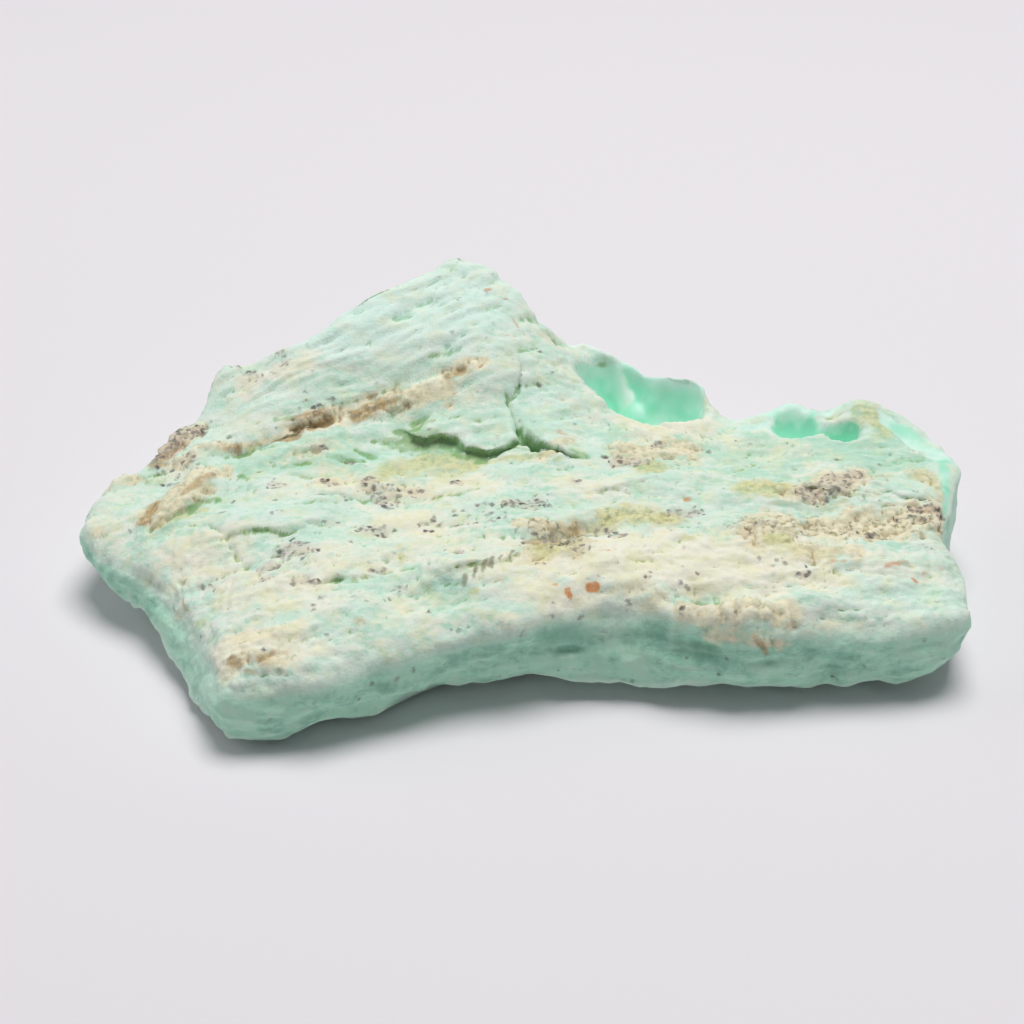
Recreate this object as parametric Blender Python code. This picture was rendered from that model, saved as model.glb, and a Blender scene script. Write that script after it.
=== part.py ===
"""Raw chrysoprase: a broken slab of pale green stone, one solid resting on its flat underside.

The stone starts as a cube cut into a grid. The grid is laid over the slab: its top follows spot
heights, its sides run from the rim down to the foot, and its underside is flat but for a lifted
edge. Mounds, ledges, clefts and scoops are worked into the top and dents into the sides, and
noise with a grain roughens the whole.
The lists of places are in millimetres, from the middle of the plan: +X right, +Y back, +Z up.
"""

import math

import bmesh
import bpy
import numpy as np

# Driving dimensions of the finished stone, in metres.
STONE_LENGTH = 0.090
STONE_DEPTH = 0.062
STONE_HEIGHT = 0.023

# Cells of the grid along the slab, across it and down its sides.
CELLS_ALONG = 64
CELLS_ACROSS = 41
CELLS_DOWN = 5

# The outline, where the top turns down into the sides: (x, y, how far the foot stands out past
# it, how high the foot's edge is off the ground). Front and back run from left to right, left
# and right run from front to back.
OUTLINE = {
    "front": [
        (-27.5, -31.0, -0.6, 0.5), (-22.0, -30.3, -1.6, 0.2), (-18.0, -29.6, -2.2, 0.2),
        (-13.0, -27.8, -2.4, 0.5), (-9.0, -26.6, -2.4, 1.0), (-5.0, -25.4, -2.2, 1.0),
        (-1.0, -24.8, -2.0, 1.5), (2.0, -23.8, -1.0, 1.9), (4.5, -22.4, -0.3, 1.2),
        (7.5, -21.4, 0.4, 0.6), (10.5, -22.4, -0.8, 0.5), (13.5, -24.1, -2.4, 0.5),
        (16.5, -24.8, -3.2, 0.5), (21.0, -24.8, -3.2, 0.2), (25.0, -23.4, -2.2, 0.2),
        (31.5, -23.1, -2.0, 0.2), (37.0, -22.2, -2.0, 0.3), (40.0, -21.2, -2.0, 0.6),
        (42.0, -19.0, -1.4, 1.2),
    ],
    "right": [
        (42.0, -19.0, -1.4, 1.2), (42.2, -14.0, -0.2, 2.0), (41.5, -8.0, 0.4, 1.5),
        (42.7, -3.5, 0.2, 1.0), (43.6, 1.5, 0.0, 0.6),
    ],
    "back": [
        (-45.0, -4.2, -1.0, 3.6), (-43.8, 0.5, 0.4, 2.8), (-42.6, 3.6, 1.6, 2.2),
        (-39.9, 5.4, 2.8, 1.8), (-38.0, 8.4, 3.4, 1.4), (-36.0, 13.4, 4.0, 1.0), (-32.2, 17.5, 4.6, 0.8),
        (-25.0, 19.0, 5.2, 0.5), (-20.0, 21.4, 4.6, 0.3), (-14.0, 24.2, 4.4, 0.5),
        (-9.8, 26.8, 4.0, 0.4), (-7.4, 27.6, 3.8, 0.4), (-4.1, 26.8, 3.6, 0.4),
        (-1.2, 24.8, 4.0, 0.3), (0.8, 22.6, 5.2, 0.5), (5.2, 22.6, 4.6, 0.4),
        (10.1, 21.6, 4.2, 0.4), (13.4, 18.0, 4.6, 0.5), (18.6, 15.2, 4.4, 0.6),
        (20.4, 12.2, 4.4, 1.0), (24.7, 11.2, 4.0, 0.8), (27.9, 12.5, 3.2, 0.3),
        (30.0, 11.9, 3.6, 0.4), (32.7, 12.6, 3.0, 0.5), (36.4, 12.4, 2.4, 0.8),
        (39.8, 10.8, 1.4, 0.8), (41.8, 7.6, 0.8, 0.5), (43.2, 4.4, 0.4, 0.5),
        (43.6, 1.5, 0.0, 0.6),
    ],
    "left": [
        (-27.5, -31.0, -0.6, 0.5), (-29.5, -27.7, -0.8, 1.0), (-32.5, -23.3, -0.8, 1.5),
        (-34.7, -19.5, -0.9, 1.8), (-37.2, -15.0, -0.8, 2.4), (-40.7, -11.0, -1.8, 3.0),
        (-43.5, -8.0, -2.2, 3.4), (-45.0, -4.2, -1.0, 3.6),
    ],
}

# Heights of the top: (x, y, z).
SPOT_HEIGHTS = [
    # along the front, from the left corner to the right end
    (-27.5, -31.0, 7.2), (-22.0, -30.3, 7.6), (-13.0, -27.8, 8.6), (-5.0, -25.4, 9.2),
    (2.0, -23.8, 9.8), (7.5, -21.4, 11.0), (13.5, -24.1, 9.8), (18.0, -24.8, 8.4),
    (25.0, -23.4, 9.2), (31.5, -23.1, 8.6), (37.0, -22.2, 8.6), (42.0, -19.0, 8.6),
    # up the left and the right end
    (-32.5, -23.3, 7.6), (-37.2, -15.0, 8.2), (-43.5, -8.0, 7.6), (-45.0, -4.2, 7.4),
    (-43.8, 0.5, 8.6), (41.8, -10.0, 9.2), (43.6, 1.5, 10.8),
    # the crest at the back, up to the peak and down to the right
    (-42.6, 3.6, 8.8), (-38.0, 8.4, 10.0), (-36.0, 13.4, 12.0), (-32.2, 17.5, 14.6),
    (-25.0, 19.0, 17.4), (-20.0, 21.4, 19.6), (-14.0, 24.2, 21.6), (-9.8, 26.8, 23.0),
    (-7.4, 27.6, 23.4), (-4.1, 26.8, 22.6), (-1.2, 24.8, 20.8), (0.8, 22.6, 17.8),
    (5.2, 22.6, 15.2), (10.1, 21.6, 14.8), (13.4, 18.0, 14.8), (18.6, 15.2, 15.2),
    (20.4, 12.2, 12.8), (24.7, 11.2, 12.6), (29.0, 12.2, 13.8), (34.5, 12.5, 14.2),
    (39.8, 10.8, 13.4), (43.2, 4.4, 11.8),
    # the ramp below the peak, and the lobe in front of it
    (-24.2, 11.8, 14.0), (-24.4, 16.0, 16.0), (-13.7, 18.0, 18.0), (-6.0, 19.5, 19.4),
    (-22.9, 7.7, 12.4), (-13.6, 11.4, 13.6), (-7.2, 13.9, 15.4), (-0.9, 10.6, 13.8),
    (-4.0, 4.5, 11.6), (5.5, 11.8, 13.8), (3.5, 17.0, 15.6), (8.6, 9.5, 12.9),
    (13.3, 9.0, 12.4), (18.3, 9.8, 12.3),
    # the low ground in front, from left to right
    (-39.8, -1.4, 9.2), (-30.2, -4.0, 10.4), (-25.4, -25.5, 8.8), (-22.0, -20.2, 9.6),
    (-20.0, -4.8, 11.0), (-12.3, -21.7, 10.4), (-11.0, -4.8, 11.2), (-5.0, 0.0, 11.2),
    (1.0, -20.0, 10.9), (3.1, -5.6, 11.8), (8.7, -17.0, 11.4), (13.5, 0.4, 12.0),
    (17.0, -19.5, 11.2), (21.7, 0.4, 12.0), (24.0, -18.5, 10.6),
    (30.1, 3.5, 12.2), (31.0, -7.9, 11.0), (31.6, -18.0, 9.8), (38.2, 1.3, 11.6),
    (37.5, -13.5, 9.9),
]

# Shell-shaped breaks: middle (x, y), turn in degrees, reach along and across, floor height,
# and how high the bowl climbs at that reach.
SCOOPS = [
    {"at": (8.2, 15.6), "turn": -42.0, "reach": (7.5, 4.6), "floor": 8.2, "climb": 6.0},
    {"at": (14.0, 12.8), "turn": -10.0, "reach": (6.0, 3.6), "floor": 7.8, "climb": 4.8},
    {"at": (28.2, 8.2), "turn": 10.0, "reach": (3.2, 2.7), "floor": 10.0, "climb": 4.0},
    {"at": (34.4, 7.8), "turn": -15.0, "reach": (2.9, 2.6), "floor": 10.2, "climb": 3.8},
    {"at": (40.4, 6.6), "turn": -48.0, "reach": (5.0, 2.2), "floor": 10.4, "climb": 2.6},
]

# Ledges: the line of the lip from left to right, how far it stands up, how far it hangs over
# to the front, and how far back the raised ground runs out.
LEDGES = [
    {
        "line": [(-16.0, 9.6), (-13.4, 6.5), (-11.8, 5.2), (-9.2, 4.2), (-7.6, 3.2), (-6.0, 2.3),
                 (-3.8, 2.5), (-1.9, 2.8), (0.2, 2.7), (1.7, 2.4), (3.5, 2.0), (5.0, 2.4)],
        "rise": 1.9, "hang": 1.0, "run": 12.0,
    },
    {
        "line": [(-37.6, -7.4), (-34.1, -5.8), (-31.8, -4.0), (-29.8, -1.7)],
        "rise": 1.2, "hang": 0.5, "run": 4.5,
    },
    {
        "line": [(23.6, -4.0), (28.0, -4.6), (33.0, -3.4), (38.0, -4.0), (41.5, -3.4)],
        "rise": 0.9, "hang": 0.3, "run": 5.0,
    },
]

# Clefts: the line of the bottom, the depth and half of the width.
CLEFTS = [
    {
        "line": [(-34.0, 4.4), (-29.1, 5.9), (-25.0, 7.4), (-22.8, 8.8), (-19.9, 10.4),
                 (-16.8, 12.0), (-13.6, 13.2), (-9.4, 14.8), (-5.1, 15.4)],
        "depth": 1.3, "half": 1.3,
    },
    {
        "line": [(-2.4, 12.8), (-1.9, 11.5), (-1.5, 10.1), (-0.4, 6.8), (0.7, 5.4), (1.8, 3.8)],
        "depth": 1.5, "half": 0.9,
    },
    {"line": [(-16.6, 22.0), (-13.6, 20.8), (-12.0, 22.4), (-9.6, 23.4)], "depth": 0.8, "half": 0.8},
]

# Mounds and hollows: middle (x, y), turn in degrees, reach along and across, height.
MOUNDS = [
    {"at": (-34.4, -2.6), "turn": 36.0, "reach": (4.6, 2.2), "height": 1.5},
    {"at": (-37.4, 9.2), "turn": 50.0, "reach": (2.6, 1.8), "height": 0.9},
    {"at": (-42.4, 3.2), "turn": 0.0, "reach": (1.6, 1.6), "height": 1.0},
    {"at": (-27.0, -8.2), "turn": 14.0, "reach": (6.0, 2.6), "height": 0.9},
    {"at": (-6.0, -17.0), "turn": 18.0, "reach": (6.0, 2.2), "height": 0.8},
    {"at": (-18.6, -14.0), "turn": 16.0, "reach": (7.0, 2.4), "height": 0.7},
    {"at": (11.0, -2.6), "turn": 8.0, "reach": (8.0, 2.4), "height": 0.8},
    {"at": (4.6, -10.8), "turn": 24.0, "reach": (3.4, 1.6), "height": -1.6},
    {"at": (24.4, -4.2), "turn": 6.0, "reach": (6.0, 2.0), "height": 0.7},
    {"at": (31.5, -14.0), "turn": -6.0, "reach": (6.0, 2.4), "height": 0.7},
    {"at": (19.0, -23.6), "turn": 4.0, "reach": (4.0, 1.8), "height": 1.2},
    {"at": (27.0, -22.2), "turn": 0.0, "reach": (3.0, 1.6), "height": 0.9},
]

# Dents broken into the sides: middle, reach and how far each pushes the side in (x, y).
DENTS = [
    {"at": (-36.0, 16.0, 5.0), "reach": 7.0, "push": (2.6, -2.2)},
    {"at": (-22.0, 24.0, 12.0), "reach": 8.0, "push": (0.8, -3.0)},
    {"at": (-7.0, 31.0, 5.0), "reach": 6.5, "push": (0.2, -2.6)},
    {"at": (5.0, 27.0, 6.0), "reach": 6.0, "push": (-0.6, -2.4)},
    {"at": (14.0, 22.0, 3.0), "reach": 5.0, "push": (-1.4, -1.6)},
    {"at": (31.0, 15.0, 6.0), "reach": 5.5, "push": (0.0, -1.8)},
    {"at": (42.5, 8.0, 4.0), "reach": 4.5, "push": (-1.2, -0.8)},
    {"at": (43.0, -8.0, 6.5), "reach": 4.0, "push": (-0.6, 0.1)},
]

# The rounding where the top meets the sides, in front and at the back, and the bulge of the sides.
RIM_ROUNDING = 1.5
BACK_ROUNDING = 0.5
WALL_BULGE = 0.7
# How far in the underside's lifted edge and the foot's spread reach, and how deep the underside
# is pressed before it is cut flat.
UNDERCUT_REACH = 5.0
FOOT_REACH = 16.0
SOLE_SINK = 0.6
# The grain runs to the back on the left and bends level on the right.
GRAIN_SLOPE = 0.29
GRAIN_BEND = 0.0047
COLOUR = (0.58, 0.79, 0.67, 1.0)
ROUGHNESS = 0.8


def smooth_step(low, high, value):
    """0 below low, 1 above high and a smooth rise between."""
    share = np.clip((value - low) / (high - low), 0.0, 1.0)
    return share * share * (3.0 - 2.0 * share)


def corner_values(ix, iy, iz, seed):
    """One repeatable number from -1 to 1 for each corner of a cubic lattice."""
    mixed = (ix * 73856093) ^ (iy * 19349663) ^ (iz * 83492791) ^ (seed * 961748927)
    mixed = (mixed ^ (mixed >> 13)) * 1274126177
    return ((mixed ^ (mixed >> 16)) & 0xFFFF) / 32767.5 - 1.0


def lattice_noise(points, seed):
    """Smooth noise from -1 to 1: the corner values of the lattice, blended across each cell."""
    cell = np.floor(points).astype(np.int64)
    part = points - cell
    blend = part * part * part * (part * (part * 6.0 - 15.0) + 10.0)
    total = np.zeros(len(points))
    for dx in (0, 1):
        for dy in (0, 1):
            for dz in (0, 1):
                weight = (
                    (blend[:, 0] if dx else 1.0 - blend[:, 0])
                    * (blend[:, 1] if dy else 1.0 - blend[:, 1])
                    * (blend[:, 2] if dz else 1.0 - blend[:, 2])
                )
                total += weight * corner_values(cell[:, 0] + dx, cell[:, 1] + dy, cell[:, 2] + dz, seed)
    return total


def layered_noise(points, wavelength, layers, seed):
    """Noise at a wavelength, with layers of half the size and half the strength added."""
    total = np.zeros(len(points))
    for layer in range(layers):
        total += lattice_noise(points * 2.0**layer / wavelength, seed + layer) / 2.0**layer
    return total


def along_grain(points):
    """The points in the stone's own grain: x along it, y and z across it, four times finer."""
    slope = GRAIN_SLOPE * points[:, 0] - 0.5 * GRAIN_BEND * points[:, 0] ** 2
    return np.stack([points[:, 0] / 4.0, points[:, 1] - slope, points[:, 2]], axis=1)


def curve_through(knots, steps=8):
    """A smooth line through the knots, as many points."""
    knots = np.array(knots, float)
    ends = np.vstack([2 * knots[0] - knots[1], knots, 2 * knots[-1] - knots[-2]])
    share = np.linspace(0.0, 1.0, steps, endpoint=False)[:, None]
    stretches = []
    for before, start, end, after in zip(ends, ends[1:], ends[2:], ends[3:]):
        stretches.append(
            0.5 * (
                2 * start
                + (end - before) * share
                + (2 * before - 5 * start + 4 * end - after) * share**2
                + (3 * start - before - 3 * end + after) * share**3
            )
        )
    return np.vstack(stretches + [knots[-1:]])


def along_side(knots, share):
    """Points at these shares of the length of the curve through the knots."""
    line = curve_through(knots)
    length = np.concatenate([[0.0], np.cumsum(np.linalg.norm(np.diff(line[:, :2], axis=0), axis=1))])
    return np.stack([np.interp(share * length[-1], length, column) for column in line.T], axis=1)


def patch(u, v):
    """The outline's four numbers at u from left to right and v from front to back, filled in."""
    front, back = along_side(OUTLINE["front"], u), along_side(OUTLINE["back"], u)
    left, right = along_side(OUTLINE["left"], v), along_side(OUTLINE["right"], v)
    corners = [np.array(OUTLINE[side][end]) for side in ("front", "back") for end in (0, -1)]
    u, v = u[:, None], v[:, None]
    flat = (1 - v) * ((1 - u) * corners[0] + u * corners[1]) + v * ((1 - u) * corners[2] + u * corners[3])
    return (1 - v) * front + v * back + (1 - u) * left + u * right - flat


def nearest_on_line(xy, knots):
    """Distance to the line, which side it is on (1 to its left), and the share along it."""
    line = curve_through(knots, steps=5)
    starts, steps = line[:-1], np.diff(line, axis=0)
    lengths = np.linalg.norm(steps, axis=1)
    offset = xy[:, None, :] - starts[None]
    share = np.clip((offset * steps).sum(2) / lengths**2, 0.0, 1.0)
    gap = offset - share[:, :, None] * steps
    distance = np.linalg.norm(gap, axis=2)
    nearest = distance.argmin(1)
    rows = np.arange(len(xy))
    step, away = steps[nearest], offset[rows, nearest]
    side = np.sign(step[:, 0] * away[:, 1] - step[:, 1] * away[:, 0])
    travelled = (np.cumsum(lengths) - lengths)[nearest] + share[rows, nearest] * lengths[nearest]
    return distance[rows, nearest], side, travelled / lengths.sum()


def turned(xy, feature):
    """The place in a feature's own frame, as shares of its reach along and across."""
    angle = math.radians(feature["turn"])
    dx, dy = xy[:, 0] - feature["at"][0], xy[:, 1] - feature["at"][1]
    along = dx * math.cos(angle) + dy * math.sin(angle)
    across = dy * math.cos(angle) - dx * math.sin(angle)
    return along / feature["reach"][0], across / feature["reach"][1]


def plate_kernel(distance):
    return np.where(distance > 0, distance**2 * np.log(np.maximum(distance, 1e-9)), 0.0)


def sheet_through(spots, xy):
    """Height of the stiffest smooth sheet through the spot heights (a thin plate)."""
    spots = np.array(spots, float)
    count = len(spots)
    system = np.zeros((count + 3, count + 3))
    system[:count, :count] = plate_kernel(np.linalg.norm(spots[:, None, :2] - spots[None, :, :2], axis=2))
    system[:count, :count] += np.eye(count) * 2.0
    system[:count, count:] = np.column_stack([np.ones(count), spots[:, :2]])
    system[count:, :count] = system[:count, count:].T
    weights = np.linalg.solve(system, np.concatenate([spots[:, 2], np.zeros(3)]))
    bend = plate_kernel(np.linalg.norm(xy[:, None, :] - spots[None, :, :2], axis=2))
    return bend @ weights[:count] + np.column_stack([np.ones(len(xy)), xy]) @ weights[count:]


def lower_of(a, b, softness):
    """The lower of two heights, with the corner between them rounded."""
    blend = np.clip(0.5 + 0.5 * (b - a) / softness, 0.0, 1.0)
    return b * (1 - blend) + a * blend - softness * blend * (1 - blend)


def ledge_share(xy, ledge):
    """How far onto a ledge a place is: 1 on its lip, less behind it and at its ends."""
    distance, side, share = nearest_on_line(xy, ledge["line"])
    ends = smooth_step(0.0, 0.18, share) * smooth_step(1.0, 0.82, share)
    behind = distance * side
    return ends * smooth_step(-1.6, 1.6, behind) * np.exp(-np.maximum(behind, 0) / ledge["run"])


def top_height(xy):
    """Height of the top: the sheet, with mounds, ledges, clefts and scoops worked in."""
    height = sheet_through(SPOT_HEIGHTS, xy)
    for mound in MOUNDS:
        along, across = turned(xy, mound)
        height += mound["height"] * np.exp(-(along**2 + across**2) ** 1.5)
    for ledge in LEDGES:
        height += ledge["rise"] * ledge_share(xy, ledge)
    for cleft in CLEFTS:
        distance, _, share = nearest_on_line(xy, cleft["line"])
        ends = smooth_step(0.0, 0.15, share) * smooth_step(1.0, 0.85, share)
        height -= cleft["depth"] * ends * np.exp(-((distance / cleft["half"]) ** 2))
    for scoop in SCOOPS:
        along, across = turned(xy, scoop)
        bowl = scoop["floor"] + scoop["climb"] * (along**2 + across**2) ** 1.2
        height = lower_of(height, bowl, 0.5)
    return height


def slab_points(u, v, f):
    """The plain slab: u and v over its plan, f from its underside (0) to its top (1)."""
    x, y, spread, lift = patch(u, v).T
    xy = np.column_stack([x, y])
    rim = OUTLINE["front"] + OUTLINE["right"][1:] + OUTLINE["back"][-2::-1] + OUTLINE["left"][-2::-1]
    inward, _, _ = nearest_on_line(xy, np.array(rim)[:, :2])
    inward[np.minimum.reduce([u, 1 - u, v, 1 - v]) < 1e-6] = 0.0
    radius = RIM_ROUNDING + (BACK_ROUNDING - RIM_ROUNDING) * smooth_step(-8.0, 6.0, y)
    rounding = 1.0 - np.sqrt(1.0 - (1.0 - np.clip(inward / radius, 0.0, 1.0)) ** 2)
    top = top_height(xy) - radius * rounding
    under = (lift + SOLE_SINK) * (1.0 - smooth_step(0.0, UNDERCUT_REACH, inward)) - SOLE_SINK
    outward = np.column_stack([0.3 * x, 0.75 * y])
    outward /= np.linalg.norm(outward, axis=1)[:, None] + 1e-6
    foot = spread * (1.0 - smooth_step(0.0, FOOT_REACH, inward))
    xy += outward * (foot * (1.0 - f**0.7) + WALL_BULGE * 4.0 * f * (1.0 - f))[:, None]
    for ledge in LEDGES:
        xy[:, 1] -= ledge["hang"] * f**4 * ledge_share(xy, ledge)
    return np.column_stack([xy, under + (top - under) * f])


def with_dents(points):
    """The sides pushed in level, most at the middle of each dent."""
    for dent in DENTS:
        distance = np.linalg.norm(points - dent["at"], axis=1) / dent["reach"]
        points = points + np.exp(-(distance**3))[:, None] * [*dent["push"], 0.0]
    return points


def relief(points, normals):
    """How far the broken surface stands off the slab: fibres along the grain, lumps, rough sides."""
    fibres = 1.0 - 2.0 * np.abs(layered_noise(along_grain(points), 3.0, 2, 11))
    lumps = layered_noise(points, 8.0, 3, 23)
    sides = (1.0 - np.abs(normals[:, 2])) * smooth_step(-4.0, 10.0, points[:, 1])
    return 0.35 * fibres + 0.6 * lumps + 1.2 * sides * layered_noise(points, 12.0, 2, 37)


def stone_grid():
    """A cube cut into a grid of cells, as a bmesh."""
    grid = bmesh.new()
    bmesh.ops.create_cube(grid, size=2.0)
    for axis, cells in enumerate((CELLS_ALONG, CELLS_ACROSS, CELLS_DOWN)):
        across = [
            edge for edge in grid.edges
            if abs(edge.verts[0].co[axis] - edge.verts[1].co[axis]) > 1.0
        ]
        bmesh.ops.subdivide_edges(grid, edges=across, cuts=cells - 1)
    return grid


def read_vectors(collection, name):
    values = np.empty(len(collection) * 3, np.float32)
    collection.foreach_get(name, values)
    return values.reshape(-1, 3).astype(float)


def write_points(mesh, points):
    mesh.vertices.foreach_set("co", points.astype(np.float32).ravel())
    mesh.update()


def fit_box(points, size):
    """Scales the points to a box of this size that stands on z = 0 about the origin."""
    low, high = points.min(0), points.max(0)
    middle = np.array([(low[0] + high[0]) / 2, (low[1] + high[1]) / 2, low[2]])
    return (points - middle) * (np.array(size) / (high - low))


def stone_material():
    material = bpy.data.materials.new("chrysoprase")
    material.use_nodes = True
    shader = material.node_tree.nodes["Principled BSDF"]
    shader.inputs["Base Color"].default_value = COLOUR
    shader.inputs["Roughness"].default_value = ROUGHNESS
    shader.inputs["Metallic"].default_value = 0.0
    return material


def build_stone(collection):
    mesh = bpy.data.meshes.new("chrysoprase")
    grid = stone_grid()
    grid.to_mesh(mesh)
    grid.free()
    u, v, f = (read_vectors(mesh.vertices, "co").T + 1.0) / 2.0
    points = with_dents(slab_points(u, v, f))
    write_points(mesh, points)
    normals = read_vectors(mesh.vertex_normals, "vector")
    points += normals * relief(points, normals)[:, None]
    points[:, 2] = np.maximum(points[:, 2], 0.0)
    write_points(mesh, fit_box(points, (STONE_LENGTH, STONE_DEPTH, STONE_HEIGHT)))
    mesh.shade_smooth()
    mesh.materials.append(stone_material())
    stone = bpy.data.objects.new("chrysoprase", mesh)
    collection.objects.link(stone)
    return stone


def main():
    for old in list(bpy.data.objects):
        bpy.data.objects.remove(old)
    specimen = bpy.data.collections.new("raw_chrysoprase")
    bpy.context.scene.collection.children.link(specimen)
    build_stone(specimen)


main()
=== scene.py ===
import math

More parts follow.
